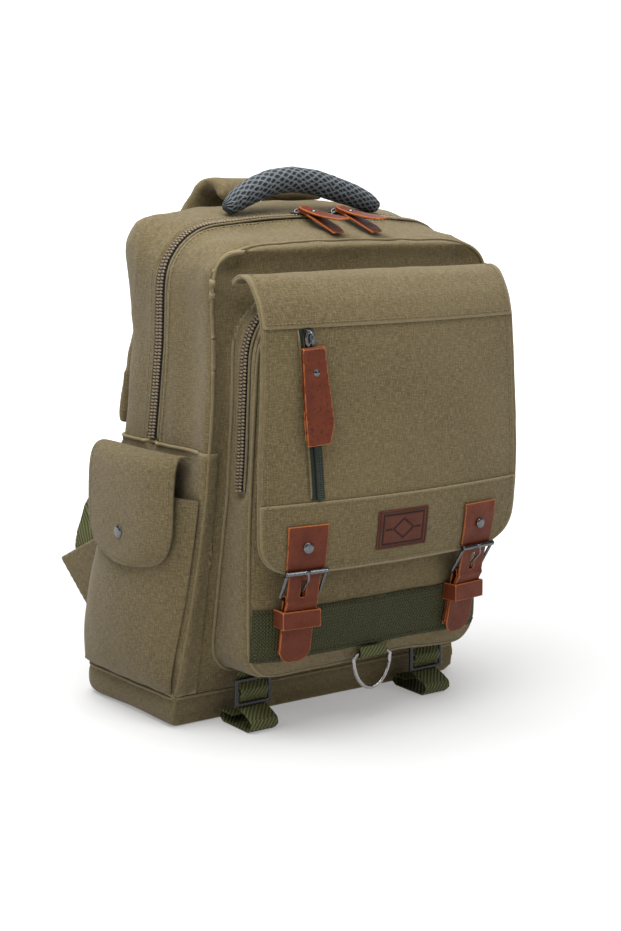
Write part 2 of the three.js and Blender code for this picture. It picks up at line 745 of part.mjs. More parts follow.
// The flap's surface: row along its drop, x across it
function flapPoint(row, across) {
  const { out, drop, wide } = row;
  const z = flapTop - flapDrop * drop;
  const fromFoot = flapDrop * (1 - drop);
  let half = (flapWidth / 2) * wide;
  if (fromFoot < flapCorner) {
    half -= flapCorner - Math.sqrt(Math.max(flapCorner ** 2 - (flapCorner - fromFoot) ** 2, 0));
  }
  const x = half * across;
  const root = frontY(flapTop);
  return new THREE.Vector3(x + flapX, root - flapStand * out + flapSag * (x / (flapWidth / 2)) ** 2 * out, z);
}

const flapAcross = [-1, -0.88, -0.68, -0.46, -0.23, 0, 0.23, 0.46, 0.68, 0.88, 1];
const flapAt = (drop) => {
  const rows = flapRows.slice(2).map((r) => ({ at: r.drop, out: r.out, wide: r.wide }));
  return { drop, out: readRows(rows, 'out', drop), wide: readRows(rows, 'wide', drop) };
};

// A point on the flap's outer face at a given x, the nearest there to the given height
function flapFace(x, z, lift) {
  const row = flapAt((flapTop - z) / flapDrop);
  const half = (flapWidth / 2) * row.wide;
  const root = frontY(flapTop);
  const y = root - flapStand * row.out + flapSag * ((x - flapX) / (flapWidth / 2)) ** 2 * row.out;
  return new THREE.Vector3(x, y - lift, z);
}

function buildFlap() {
  const grid = flapRows.map((row) => flapAcross.map((a) => flapPoint(row, a)));
  const zipTop = flapTop - stripDrop;
  const zipFoot = flapTop - lowerBandDrop;
  const slotHalf = zipSlotWidth / 2;
  const zipX = (z) => flapZipFootX + ((flapZipTopX - flapZipFootX) * (z - zipFoot)) / (zipTop - zipFoot);
  const zipFramesTo = (gap) => {
    const steps = 6;
    const points = Array.from({ length: steps + 1 }, (_, i) => {
      const z = zipTop - gap - ((zipTop - zipFoot - 2 * gap) * i) / steps;
      return flapFace(zipX(z), z, 0);
    });
    return framesAlong(points, () => new THREE.Vector3(0, -1, 0));
  };
  const slot = sweep(zipFramesTo(0), flatSection(slotHalf, -4 * flapThickness, 4 * flapThickness));
  addPiece('flap_panel', sheetSolid(grid, flapThickness).subtract(slot), canvas);

  const layerLift = sewnGap + flapLayer;
  const stripRows = [...flapRows.filter((r) => r.drop < stripDrop / flapDrop), flapAt(stripDrop / flapDrop)];
  const strip = stripRows.map((row) => flapAcross.map((a) => flapPoint(row, a)));
  addPiece('flap_top_strip', sheetSolid(strip, flapLayer, layerLift), canvas);
  const lowShare = lowerBandDrop / flapDrop;
  const lowRows = [flapAt(lowShare), ...flapRows.filter((r) => r.drop > lowShare + 0.01)];
  const low = lowRows.map((row) => flapAcross.map((a) => flapPoint(row, a)));
  addPiece('flap_lower_band', sheetSolid(low, flapLayer, layerLift), canvas);

  addPiece('flap_zip', sweep(zipFramesTo(3 * zipGap), zipSection(slotHalf - zipGap, 0.4 * zipTeethWidth)), greenZip);

  const sliderAt = flapFace(zipX(zipTop - 0.6 * sliderLength), zipTop - 0.6 * sliderLength, zipTeethHeight + 0.3);
  const slider = sliderSolid(sliderLength, sliderWidth, sliderHeight);
  const sliderPlace = placeAt(sliderAt, new THREE.Vector3(0, 0, -1), new THREE.Vector3(0, -1, 0));
  addPiece('flap_slider', slider, gunmetal, sliderPlace);
  const bailEnd = zipTop - 0.96 * sliderLength - bailRadius;
  const pullTop = bailEnd - bailRadius - leatherThickness - zipGap;
  const pullAt = flapFace(zipX(pullTop), pullTop, zipTeethHeight + 0.85 * sliderHeight);
  const pull = pullSolid(flapPullLength, flapPullWidth, 1.2, flapPullNeck);
  const hang = new THREE.Vector3(0.07, -0.045, -1);
  addPiece('flap_pull', pull, leather, placeAt(pullAt, hang, new THREE.Vector3(-0.17, -1, 0)));

  const patchTop = zipFoot - 14;
  const patch = [];
  for (let i = 0; i <= 3; i++) {
    const z = patchTop - (patchHeight * i) / 3;
    patch.push([-1, -0.5, 0, 0.5, 1].map((a) => flapFace(patchX + (a * patchWidth) / 2, z, 0)));
  }
  const patchLift = layerLift + sewnGap + patchThickness;
  addPiece('leather_patch', sheetSolid(patch, patchThickness, patchLift), leather);
}

// A strap riveted to the flap, run behind its buckle's roller, over the lower bar and through a keeper.
// Built facing -y at x = 0 from the flap's foot, then turned to lie along the flap's curve.
function buildClosure(side) {
  const x = (side === 'left' ? -1 : 1) * closureX;
  const flapFoot = flapTop - flapDrop;
  const origin = flapFace(x, flapFoot, 0);
  const slope = (2 * flapSag * x) / (flapWidth / 2) ** 2;
  const turn = new THREE.Matrix4().makeRotationZ(Math.atan(slope)).setPosition(origin.x, origin.y, 0);
  const facing = () => new THREE.Vector3(0, -1, 0);
  const t = leatherThickness;
  const onFlap = (z) => flapFace(x, z, 0).y - origin.y - flapLayer - 2 * sewnGap - 0.5 - t;
  const onPocket = (z) => pocketFaceY(x, z) - origin.y - bandThickness - sewnGap;

  const roller = { y: onFlap(flapFoot) - sewnGap - rollerRadius, z: flapFoot + 2 };
  const bar = {
    y: roller.y + frameLength * Math.sin(frameLean),
    z: roller.z - frameLength * Math.cos(frameLean),
  };
  const foldRadius = barRadius + 0.6 + t / 2;
  const overBar = bar.y - foldRadius - t / 2 - t - 3 * sewnGap;
  const anchorFoot = strapTipHeight + 8;
  const anchorBend = bar.z - 22;
  const backLeaf = (z) => onPocket(z) - sewnGap - t / 2;
  const frontLeaf = (z) => backLeaf(z) - t - sewnGap;
  const overAnchor = (z) => {
    const rise = Math.max(z - anchorBend, 0) / (bar.z - 3 - anchorBend);
    const low = frontLeaf(Math.min(z, anchorBend));
    return low + (bar.y - foldRadius - low) * rise - 1.5 * t - sewnGap - 0.6;
  };
  const keeperTop = bar.z - 10;
  const keeperFoot = keeperTop - keeperWidth;

  const half = strapWidth / 2;
  const tabTop = flapFoot + tabRise;
  const spine = [0, 0.2, 0.45, 0.7, 0.88].map((share) => {
    const z = tabTop - tabRise * share;
    return { y: onFlap(z), z, half: tabWidth / 2 - 0.8 * share };
  });
  spine.push(
    { y: onFlap(flapFoot), z: roller.z, half },
    { y: overBar, z: bar.z + 1, half },
    { y: overAnchor(bar.z - 3) - 0.5, z: bar.z - 3, half },
    { y: overAnchor(keeperTop), z: keeperTop, half },
    { y: overAnchor(keeperFoot), z: keeperFoot, half },
    { y: overAnchor(strapTipHeight + 9), z: strapTipHeight + 9, half },
    { y: overAnchor(strapTipHeight + 3), z: strapTipHeight + 3, half: 0.76 * half },
    { y: overAnchor(strapTipHeight), z: strapTipHeight, half: 0.4 * half },
  );
  const frames = framesAlong(spine.map(({ y, z }) => new THREE.Vector3(0, y, z)), facing);
  const strap = sweep(frames, (k) => {
    const wide = spine[Math.round(k * (spine.length - 1))].half;
    return [[-wide, -t], [-wide, 0], [wide, 0], [wide, -t]];
  });
  const hole = box(-holeWidth / 2, holeWidth / 2, -60, 60, roller.z - 22, roller.z - 7);
  addPiece(`closure_strap_${side}`, strap.subtract(hole), leather, turn);
  const rivetZ = tabTop - 0.45 * tabRise;
  const rivetY = Math.min(onFlap(rivetZ - rivetRadius), onFlap(rivetZ + rivetRadius)) - sewnGap;
  const rivet = stud(rivetRadius, rivetHeight, new THREE.Vector3(0, rivetY, rivetZ), facing());
  addPiece(`tab_rivet_${side}`, rivet, gunmetal, turn);

  const reach = frameInside / 2 + frameRadius;
  const level = new THREE.Vector3(0, -Math.cos(frameLean), -Math.sin(frameLean));
  const near = { y: bar.y - 0.09 * (bar.y - roller.y), z: bar.z - 0.09 * (bar.z - roller.z) };
  const loop = [
    [-reach, roller], [-reach, near], [-reach + 2.5, bar], [reach - 2.5, bar], [reach, near], [reach, roller],
  ].map(([px, at]) => new THREE.Vector3(px, at.y, at.z));
  const frame = sweep(framesAlong(loop, () => level), roundSection(barRadius, 6));
  const rollerRod = cylinderAlong('x', rollerRadius, 2 * reach + 2 * frameRadius, 8, 0, roller.y, roller.z);
  const prongLine = [
    new THREE.Vector3(0, bar.y, bar.z),
    new THREE.Vector3(0, roller.y - rollerRadius - 0.2, roller.z - 6),
    new THREE.Vector3(0, roller.y - rollerRadius - 0.2, roller.z + 1.5),
  ];
  const prong = sweep(framesAlong(prongLine, () => new THREE.Vector3(1, 0, 0)), roundSection(1.2, 6));
  addPiece(`buckle_${side}`, frame.add(rollerRod).add(prong), gunmetal, turn);

  // The short doubled strap that holds the buckle to the pocket
  const fold = [
    [backLeaf(anchorFoot), anchorFoot], [backLeaf(anchorBend), anchorBend], [bar.y + foldRadius, bar.z - 3],
    [bar.y + 0.7 * foldRadius, bar.z + 0.7 * foldRadius], [bar.y - 0.7 * foldRadius, bar.z + 0.7 * foldRadius],
    [bar.y - foldRadius, bar.z - 3], [frontLeaf(anchorBend), anchorBend], [frontLeaf(anchorFoot), anchorFoot + 2],
  ].map(([y, z]) => new THREE.Vector3(0, y, z));
  const foldFrames = framesAlong(fold, (i) => {
    const a = fold[Math.max(i - 1, 0)];
    const b = fold[Math.min(i + 1, fold.length - 1)];
    return new THREE.Vector3(0, b.z - a.z, a.y - b.y);
  });
  const anchor = sweep(foldFrames, flatSection(half - 1, -t / 2, t / 2));
  const prongSlot = box(-holeWidth / 2, holeWidth / 2, -60, 60, bar.z - 5, bar.z + 12);
  const clearance = pocketForm(bandThickness + 2 * sewnGap);
  addPiece(`buckle_anchor_${side}`, moved(anchor.subtract(prongSlot), turn).subtract(clearance), leather);

  const keeperOut = Math.min(overAnchor(keeperTop), overAnchor(keeperFoot)) - 0.8;
  const kx = half + 1.2;
  const outerKeep = box(-kx - t, kx + t, keeperOut - t, 40, keeperFoot, keeperTop);
  const innerKeep = box(-kx, kx, keeperOut, 60, keeperFoot - 5, keeperTop + 5);
  addPiece(`keeper_${side}`, moved(outerKeep.subtract(innerKeep), turn).subtract(clearance), leather);
}

function buildRing() {
  const z = bandLow - 8;
  const face = pocketFaceY(0, z) - sewnGap;
  const t = webThickness;
  const inner = ringWire + 0.5;
  const mid = inner + t / 2;
  const y = face - sewnGap - t - inner;
  const fold = [
    [face - t / 2, bandLow - 1], [y + mid, z], [y + 0.7 * mid, z - 0.7 * mid], [y, z - mid],
    [y - 0.7 * mid, z - 0.7 * mid], [y - mid, z], [y - mid + 0.6, bandLow - 1],
  ].map(([py, pz]) => new THREE.Vector3(0, py, pz));
  const frames = framesAlong(fold, (i) => {
    const a = fold[Math.max(i - 1, 0)];
    const b = fold[Math.min(i + 1, fold.length - 1)];
    return new THREE.Vector3(0, b.z - a.z, -(b.y - a.y));
  });
  const loop = sweep(frames, flatSection(ringLoopWidth / 2, -t / 2, t / 2));
  addPiece('ring_loop', loop.subtract(pocketForm(sewnGap)), webbing);

  const half = ringWidth / 2;
  const points = [];
  for (let i = -1; i <= 1; i++) points.push(new THREE.Vector3((i * half) / 1.25, y, z));
  for (let i = 0; i <= 12; i++) {
    const a = (Math.PI * i) / 12;
    points.push(new THREE.Vector3(half * Math.cos(a), y, z - 3 - (ringDrop - 3) * Math.sin(a)));
  }
  const ringFrames = framesAlong(points, () => new THREE.Vector3(0, -1, 0), true);
  addPiece('d_ring', sweep(ringFrames, roundSection(ringWire, 6), true), gunmetal);
}

// The side pocket's outer face, from the front seam to the back seam and from its foot to its mouth
function sidePoint(sign, across, up) {
  const z = baseHeight + 4 + (sidePocketTop - baseHeight - 4) * up;
  const front = frontY(z) + 0.03 * bodyDepth;
  const back = backY(z) - 0.05 * bodyDepth;
  const full = readRows(sideAcross, 'full', across) * readRows(sideUp, 'full', up);
  const y = front + (back - front) * across;
  const x = yokeFaceX(y, z) + sewnGap + sidePocketWall + sidePocketBulge * full;
  return new THREE.Vector3(sign * x, y, z);
}

function yokeFaceX(y, z) {
  const depth = (y - frontY(z)) / (backY(z) - frontY(z));
  return bodyHalfAt(z) * (1 + bodySplay * depth) + sewnGap + sideYokeThickness;
}

function sideFaceX(y, z) {
  const up = Math.min((z - baseHeight - 4) / (sidePocketTop - baseHeight - 4), 1);
  const low = sidePoint(1, 0, up).y;
  return sidePoint(1, Math.min(Math.max((y - low) / (sidePoint(1, 1, up).y - low), 0), 1), up).x;
}

function buildSide(side) {
  const sign = side === 'left' ? -1 : 1;
  const yokeSkin = bodyForm(sewnGap + sideYokeThickness).subtract(bodyForm(sewnGap));
  const edge = bodyHalf - 12;
  const yokeBlock = sign < 0
    ? box(-farOut, -edge, frontY(sideYokeTop) + 2, farOut, baseHeight + 1, sideYokeTop)
    : box(edge, farOut, frontY(sideYokeTop) + 2, farOut, baseHeight + 1, sideYokeTop);
  addPiece(`side_yoke_${side}`, yokeSkin.intersect(yokeBlock), canvas);

  const ups = [0, 0.1, 0.28, 0.5, 0.75, 1];
  const acrosses = [0, 0.07, 0.18, 0.36, 0.6, 0.8, 0.92, 1];
  const order = sign < 0 ? [...acrosses].reverse() : acrosses;
  const grid = [...ups].reverse().map((u) => order.map((a) => sidePoint(sign, a, u)));
  addPiece(`side_pocket_${side}`, sheetSolid(grid, sidePocketWall), canvas);

  const columns = [-1, -0.86, -0.6, -0.25, 0.15, 0.5, 0.82, 1];
  const flapColumns = sign < 0 ? [...columns].reverse() : columns;
  const flapGrid = sideFlapRows.map(({ out, drop }) => flapColumns.map((c) => {
    const fromFoot = sideFlapDrop * (1 - drop);
    let half = sideFlapWidth / 2;
    if (fromFoot < sideFlapCorner) {
      half -= sideFlapCorner - Math.sqrt(sideFlapCorner ** 2 - (sideFlapCorner - fromFoot) ** 2);
    }
    const stand = sideFlapStand * out * (1 - 0.42 * Math.max(0, -c) ** 3 - 0.12 * Math.max(0, c) ** 3);
    const y = sideFlapY + half * c;
    const z = sideYokeTop - 4 - sideFlapDrop * drop;
    const clear = z < sidePocketTop + 8 ? sideFaceX(y, z) + sideFlapThickness + 2.5 * sewnGap : 0;
    const root = yokeFaceX(y, z) + sewnGap;
    return new THREE.Vector3(sign * Math.max(root + stand, clear), y, z);
  }));
  addPiece(`side_flap_${side}`, sheetSolid(flapGrid, sideFlapThickness), canvas);
  const snapZ = sideYokeTop - 4 - 0.72 * sideFlapDrop;
  const snapX = yokeFaceX(sideFlapY, snapZ) + 2 * sewnGap + 1.02 * sideFlapStand;
  const snapAt = new THREE.Vector3(sign * snapX, sideFlapY + 4, snapZ);
  addPiece(`snap_${side}`, stud(snapRadius, rivetHeight, snapAt, new THREE.Vector3(sign, 0, 0)), gunmetal);
}

function buildHandle() {
  const points = handleRows.map(({ at, rise }) => new THREE.Vector3(
    handleX + (handleSpan / 2) * at, handleY, bodyHeight + handleLift + handleRise * rise,
  ));
  const frames = framesAlong(points, () => new THREE.Vector3(0, -1, 0));
  const sides = 10;
  const tube = sweep(frames, (k) => {
    const { thick } = handleRows[Math.round(k * (handleRows.length - 1))];
    return Array.from({ length: sides }, (_, i) => {
      const a = (-2 * Math.PI * i) / sides;
      return [handleRadius * thick * Math.cos(a), handleRadius * Math.sqrt(thick) * Math.sin(a)];
    });
  });
  addPiece('haul_handle', tube.subtract(bodyForm(sewnGap)), padMesh);
}

function shoulderLine(sign) {
  return shoulderRows.map(({ across, back, up }) => new THREE.Vector3(
    sign * bodyHalf * across, backY(bodyHeight) + bodyDepth * back, bodyHeight * up,
  ));
}

function buildHarness(side) {
  const sign = side === 'left' ? -1 : 1;
  const line = shoulderLine(sign);
  const curve = new THREE.CatmullRomCurve3(line);
  const count = 13;
  const points = Array.from({ length: count + 1 }, (_, i) => curve.getPoint(i / count));
  const rows = shoulderRows.map((r, i) => ({ at: i / (shoulderRows.length - 1), wide: r.wide }));
  const frames = framesAlong(points, (i) => {
    const a = points[Math.max(i - 1, 0)];
    const b = points[Math.min(i + 1, count)];
    return new THREE.Vector3(0, -(b.z - a.z), b.y - a.y);
  });
  const strap = sweep(frames, (k) => {
    const half = (shoulderWidth / 2) * readRows(rows, 'wide', k);
    const thick = shoulderThickness / 2;
    return [
      [-half, -0.3 * thick], [-half, 0.3 * thick], [-0.86 * half, thick], [0.86 * half, thick],
      [half, 0.3 * thick], [half, -0.3 * thick], [0.86 * half, -thick], [-0.86 * half, -thick],
    ];
  });
  addPiece(`shoulder_strap_${side}`, strap.subtract(bodyForm(sewnGap)), canvas);

  // The canvas wing sewn into the lower back seam, and the webbing from inside it up to the strap's end
  const rootX = bodyHalf - 4;
  const foot = new THREE.Vector3(sign * rootX, backY(wingFoot) + 1, wingFoot);
  const head = new THREE.Vector3(sign * rootX, backY(wingFoot + wingHeight) + 1, wingFoot + wingHeight);
  const apex = new THREE.Vector3(
    sign * (rootX + 12), backY(wingFoot) + 0.82 * wingReach, wingFoot + 0.6 * wingHeight,
  );
  const inward = head.clone().sub(foot).cross(apex.clone().sub(foot)).normalize().multiplyScalar(sign);
  const corners = sign < 0 ? [foot, head, apex] : [foot, apex, head];
  const shape = [-1, 1].flatMap((way) => corners.flatMap((c) =>
    c.clone().addScaledVector(inward, (way * wingThickness) / 2).toArray()));
  const wing = new THREE.BufferGeometry();
  wing.setAttribute('position', new THREE.Float32BufferAttribute(shape, 3));
  wing.setIndex([0, 1, 2, 3, 5, 4, 0, 3, 4, 0, 4, 1, 1, 4, 5, 1, 5, 2, 2, 5, 3, 2, 3, 0]);
  const wingSolid = toSolid(wing).subtract(bodyForm(2 * sewnGap + sideYokeThickness));
  addPiece(`strap_wing_${side}`, wingSolid, canvas);

  const end = points[count];
  const along = end.clone().sub(points[count - 1]).normalize();
  const edge = apex.clone().lerp(head, 0.42);
  const inset = wingThickness / 2 + webThickness / 2 + sewnGap;
  const exit = edge.clone().addScaledVector(inward, inset + 2);
  const tuck = edge.clone().lerp(foot, 0.3).addScaledVector(inward, inset + 0.3);
  const webLine = [
    end.clone().addScaledVector(along, webThickness + sewnGap),
    end.clone().addScaledVector(along, 22).add(new THREE.Vector3(0, 4, 0)),
    exit.clone().lerp(end, 0.3).add(new THREE.Vector3(sign * 2, 8, -4)),
    exit,
    tuck,
  ];
  const webPoints = new THREE.CatmullRomCurve3(webLine).getPoints(12);
  const strapOut = frames[count].out;
  const webFrames = framesAlong(webPoints, (i) => {
    const wingOut = inward.clone().multiplyScalar(Math.sign(inward.dot(strapOut)) || 1);
    return strapOut.clone().lerp(wingOut, Math.min(i / 7, 1));
  });
  const webGrid = webFrames.map((f) => [-0.5, 0, 0.5].map((share) =>
    f.at.clone().addScaledVector(f.side, share * harnessWebWidth)));
  addPiece(`harness_web_${side}`, sheetSolid(webGrid, webThickness, webThickness / 2), webbing);
}

// A webbing end threaded through its three-bar glide under the pocket and looped on the ground
function buildLash(side) {
  const x = (side === 'left' ? -1 : 1) * lashX;
  const t = webThickness;
  const glideY = frontY(pocketFoot) - 0.5 * pocketDepth;
  const glideZ = pocketFoot - 0.5 * glideLength - 6;
  const weave = glideThickness / 2 + t / 2 + sewnGap;
  const halfGlide = glideLength / 2;
  const ground = t / 2 + 0.2;
  const path = [
    [glideY + weave, pocketFoot - sewnGap],
    [glideY + weave, glideZ + halfGlide - glideBar],
    [glideY - weave, glideZ + 0.7 * glideBar],
    [glideY - weave, glideZ - 0.7 * glideBar],
    [glideY + weave, glideZ - halfGlide + glideBar],
    [glideY + weave, glideZ - halfGlide - 1],
    [glideY - 9, glideZ - halfGlide - 5],
    [glideY - 17, glideZ - halfGlide - 9],
    [glideY - 18, 6],
    [glideY - 12, ground],
    [glideY + 8, ground],
    [glideY + 27, ground + 0.6],
    [glideY + 33, 6],
    [glideY + 27, 10.5],
    [glideY + 12, 9.5],
  ];
  const points = path.map(([y, z]) => new THREE.Vector3(x, y, z));
  const frames = framesAlong(points, (i) => {
    const a = points[Math.max(i - 1, 0)];
    const b = points[Math.min(i + 1, points.length - 1)];
    return new THREE.Vector3(0, b.z - a.z, a.y - b.y);
  });
  const band = sweep(frames, flatSection(lashWidth / 2, -t / 2, t / 2));
  addPiece(`lash_strap_${side}`, band, webbing);

  const inner = lashWidth / 2 + 1;
  const outer = inner + glideBar;
  const plate = box(x - outer, x + outer, glideY - glideThickness / 2, glideY + glideThickness / 2,
    glideZ - halfGlide, glideZ + halfGlide);
  const slots = [-1, 1].map((way) => {
    const low = way < 0 ? glideZ - halfGlide + glideBar : glideZ + glideBar / 2;
    return box(x - inner, x + inner, -farOut, farOut, low, low + halfGlide - 1.5 * glideBar);
  });
  addPiece(`glide_${side}`, plate.subtract(slots[0]).subtract(slots[1]), blackPlastic);
}

buildBody();
buildTopSliders();
buildPocket();
buildFlap();
buildRing();
for (const side of ['left', 'right']) {
  buildClosure(side);
  buildSide(side);
  buildHarness(side);
  buildLash(side);
}
buildHandle();

// Stand the whole on z = 0 with its middle over the origin
const bounds = new THREE.Box3().setFromObject(model, true);
model.position.set(0, -(bounds.min.y + bounds.max.y) / 2, -bounds.min.z);

export default model;
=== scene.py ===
import math
import bpy
import bmesh
import numpy as np
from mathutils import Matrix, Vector, noise
from mathutils.bvhtree import BVHTree
from mathutils.kdtree import KDTree


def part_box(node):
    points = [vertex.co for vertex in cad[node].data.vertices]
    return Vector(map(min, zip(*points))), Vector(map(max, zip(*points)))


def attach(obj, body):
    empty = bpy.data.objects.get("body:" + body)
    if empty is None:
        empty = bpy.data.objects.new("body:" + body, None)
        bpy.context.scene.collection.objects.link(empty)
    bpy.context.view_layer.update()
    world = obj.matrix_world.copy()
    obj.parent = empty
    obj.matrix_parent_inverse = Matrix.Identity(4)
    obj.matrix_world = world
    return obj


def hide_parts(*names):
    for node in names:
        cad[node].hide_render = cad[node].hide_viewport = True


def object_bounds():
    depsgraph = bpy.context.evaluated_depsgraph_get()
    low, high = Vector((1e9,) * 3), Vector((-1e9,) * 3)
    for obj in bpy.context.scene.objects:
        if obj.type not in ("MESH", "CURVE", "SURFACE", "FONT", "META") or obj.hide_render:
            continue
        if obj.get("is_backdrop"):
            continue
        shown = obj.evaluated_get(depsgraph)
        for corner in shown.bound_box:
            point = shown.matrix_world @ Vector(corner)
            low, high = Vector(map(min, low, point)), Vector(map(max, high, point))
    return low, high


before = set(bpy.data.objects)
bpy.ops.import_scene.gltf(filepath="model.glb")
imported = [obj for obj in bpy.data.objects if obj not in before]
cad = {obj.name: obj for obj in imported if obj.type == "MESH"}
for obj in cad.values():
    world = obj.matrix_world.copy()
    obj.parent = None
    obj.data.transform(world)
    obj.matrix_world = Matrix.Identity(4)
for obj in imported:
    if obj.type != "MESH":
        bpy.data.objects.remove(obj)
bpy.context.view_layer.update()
print("backpack: frame loaded with", len(cad), "nodes")

# Camera at the photograph's angle
camera = {
    "turn": -35.15, "rise": 9.69, "distance": 1.6454, "lens": 69.6, "middle": (0.0, 0.0382, 0.2), "right": 0.035,
    "up": 0.0022
}
turn, rise = math.radians(camera["turn"]), math.radians(camera["rise"])
towards = Vector((math.sin(turn) * math.cos(rise), -math.cos(turn) * math.cos(rise), math.sin(rise)))
rightward = Vector((math.cos(turn), math.sin(turn), 0))
upward = towards.cross(rightward)
cameraData = bpy.data.cameras.new("photoCamera")
cameraData.lens = camera["lens"]
cameraData.sensor_width = 36
cameraObject = bpy.data.objects.new("photoCamera", cameraData)
bpy.context.scene.collection.objects.link(cameraObject)
cameraObject.location = (
    Vector(camera["middle"]) + rightward * camera["right"] + upward * camera["up"] + towards * camera["distance"]
)
cameraObject.rotation_mode = "QUATERNION"
cameraObject.rotation_quaternion = (-towards).to_track_quat("-Z", "Y")
bpy.context.scene.camera = cameraObject


# Small tools for meshes

def newObject(name, mesh, finish=None):
    piece = bpy.data.objects.new(name, mesh)
    bpy.context.scene.collection.objects.link(piece)
    if finish is not None:
        mesh.materials.clear()
        mesh.materials.append(finish)
    return piece


def meshFrom(name, points, faces=(), edges=()):
    mesh = bpy.data.meshes.new(name)
    mesh.from_pydata([tuple(p) for p in points], list(edges), [tuple(f) for f in faces])
    mesh.update()
    return mesh


def settled(piece):
    # The modifiers' result becomes the piece's own mesh
    graph = bpy.context.evaluated_depsgraph_get()
    graph.update()
    mesh = bpy.data.meshes.new_from_object(piece.evaluated_get(graph), preserve_all_data_layers=True, depsgraph=graph)
    piece.modifiers.clear()
    piece.data = mesh
    return piece


def cadCopy(name, sources):
    # One welded mesh from copies of CAD nodes
    bm = bmesh.new()
    for source in sources:
        bm.from_mesh(cad[source].data)
    bmesh.ops.remove_doubles(bm, verts=bm.verts, dist=2e-5)
    mesh = meshOf(bm, name)
    mesh.materials.clear()
    return newObject(name, mesh)


def grab(items, field, width=1, kind=float):
    out = np.zeros(len(items) * width, kind)
    items.foreach_get(field, out)
    return out.reshape(-1, width) if width > 1 else out


def coordinates(mesh):
    return grab(mesh.vertices, "co", 3)


def normalsOf(mesh):
    return grab(mesh.vertices, "normal", 3)


def edgesOf(mesh):
    return grab(mesh.edges, "vertices", 2, np.int32)


def meshOf(bm, name):
    mesh = bpy.data.meshes.new(name)
    bm.to_mesh(mesh)
    bm.free()
    return mesh


def sliced(bm, point, normal):
    bmesh.ops.bisect_plane(bm, geom=[*bm.verts, *bm.edges, *bm.faces], plane_co=point, plane_no=normal)


def kdOf(points):
    tree = KDTree(len(points))
    for index, p in enumerate(points):
        tree.insert(p, index)
    tree.balance()
    return tree


def distanceTo(tree, co):
    return np.array([tree.find(p)[2] for p in co])


def softened(line, passes):
    for _ in range(passes):
        line[1:-1] = 0.25 * line[:-2] + 0.5 * line[1:-1] + 0.25 * line[2:]
    return line


def unit(rows):
    return rows / np.linalg.norm(rows, axis=1)[:, None]


def lengthsAlong(points):
    return np.concatenate([[0], np.cumsum(np.linalg.norm(np.diff(points, axis=0), axis=1))])


def setCoordinates(mesh, co):
    mesh.vertices.foreach_set("co", np.ascontiguousarray(co, np.float32).ravel())
    mesh.update()


def neighbourMean(values, edges, count):
    total = np.zeros_like(values)
    np.add.at(total, edges[:, 0], values[edges[:, 1]])
    np.add.at(total, edges[:, 1], values[edges[:, 0]])
    shape = (-1,) + (1,) * (values.ndim - 1)
    return total / np.maximum(count, 1).reshape(shape)


def relax(mesh, passes, keep=0.0):
    # Evens the surface out; keep works against the shrinking
    co, edges = coordinates(mesh), edgesOf(mesh)
    count = np.bincount(edges.ravel(), minlength=len(co))
    for _ in range(passes):
        co = co + 0.5 * (neighbourMean(co, edges, count) - co)
        if keep:
            co = co - keep * (neighbourMean(co, edges, count) - co)
    setCoordinates(mesh, co)


def largestPart(mesh):
    bm = bmesh.new()
    bm.from_mesh(mesh)
    seen, best = set(), []
    for start in bm.verts:
        if start in seen:
            continue
        seen.add(start)
        part, queue = [], [start]
        while queue:
            v = queue.pop()
            part.append(v)
            for e in v.link_edges:
                o = e.other_vert(v)
                if o not in seen:
                    seen.add(o)
                    queue.append(o)
        if len(part) > len(best):
            best = part
    keepers = set(best)
    bmesh.ops.delete(bm, geom=[v for v in bm.verts if v not in keepers], context="VERTS")
    bm.to_mesh(mesh)
    bm.free()


def remeshed(name, sources, voxel, passes, keep=0.0, outer=False):
    piece = cadCopy(name, sources)
    step = piece.modifiers.new("even", "REMESH")
    step.mode = "VOXEL"
    step.voxel_size = voxel
    settled(piece)
    if outer:
        largestPart(piece.data)
    relax(piece.data, passes, keep)
    return piece


def rounded(name, source, levels, crease=0.9, angle=50):
    # A CAD sheet's quads, with its rims kept crisp, made smooth by subdivision
    piece = cadCopy(name, [source])
    bm = bmesh.new()
    bm.from_mesh(piece.data)
    bmesh.ops.join_triangles(
        bm, faces=bm.faces, angle_face_threshold=math.radians(35), angle_shape_threshold=math.radians(120),
        cmp_seam=False, cmp_sharp=False, cmp_uvs=False, cmp_vcols=False, cmp_materials=False
    )
    layer = bm.edges.layers.float.get("crease_edge") or bm.edges.layers.float.new("crease_edge")
    for edge in bm.edges:
        if len(edge.link_faces) == 2 and edge.calc_face_angle(0) > math.radians(angle):
            edge[layer] = crease
    bm.to_mesh(piece.data)
    bm.free()
    step = piece.modifiers.new("round", "SUBSURF")
    step.levels = levels
    step.render_levels = levels
    return settled(piece)


def fieldNoise(co, size, seed, stretch=(1, 1, 1)):
    s = np.array(stretch) / size
    offset = np.array((seed * 7.31, seed * 3.17, seed * 5.71))
    return np.array([noise.noise(Vector(p)) for p in co * s + offset])


def crumple(mesh, amounts, mask=None):
    # Soft folds: each amount is (height, size, seed, stretch)
    co, normals = coordinates(mesh), normalsOf(mesh)
    shift = np.zeros(len(co))
    for height, size, seed, stretch in amounts:
        n = fieldNoise(co, size, seed, stretch)
        shift += height * (1 - 2 * np.abs(n) ** 0.75 if seed % 2 else n)
    if mask is not None:
        shift = shift * mask(co)
    setCoordinates(mesh, co + normals * shift[:, None])


def treeOf(mesh):
    bm = bmesh.new()
    bm.from_mesh(mesh)
    tree = BVHTree.FromBMesh(bm)
    bm.free()
    return tree


def resampled(points, step):
    points = np.array(points, float)
    at = lengthsAlong(points)
    count = max(2, int(round(at[-1] / step)) + 1)
    where = np.linspace(0, at[-1], count)
    return np.stack([np.interp(where, at, points[:, k]) for k in range(3)], 1)


def smoothLine(points, step, passes=6):
    return softened(resampled(points, step), passes)


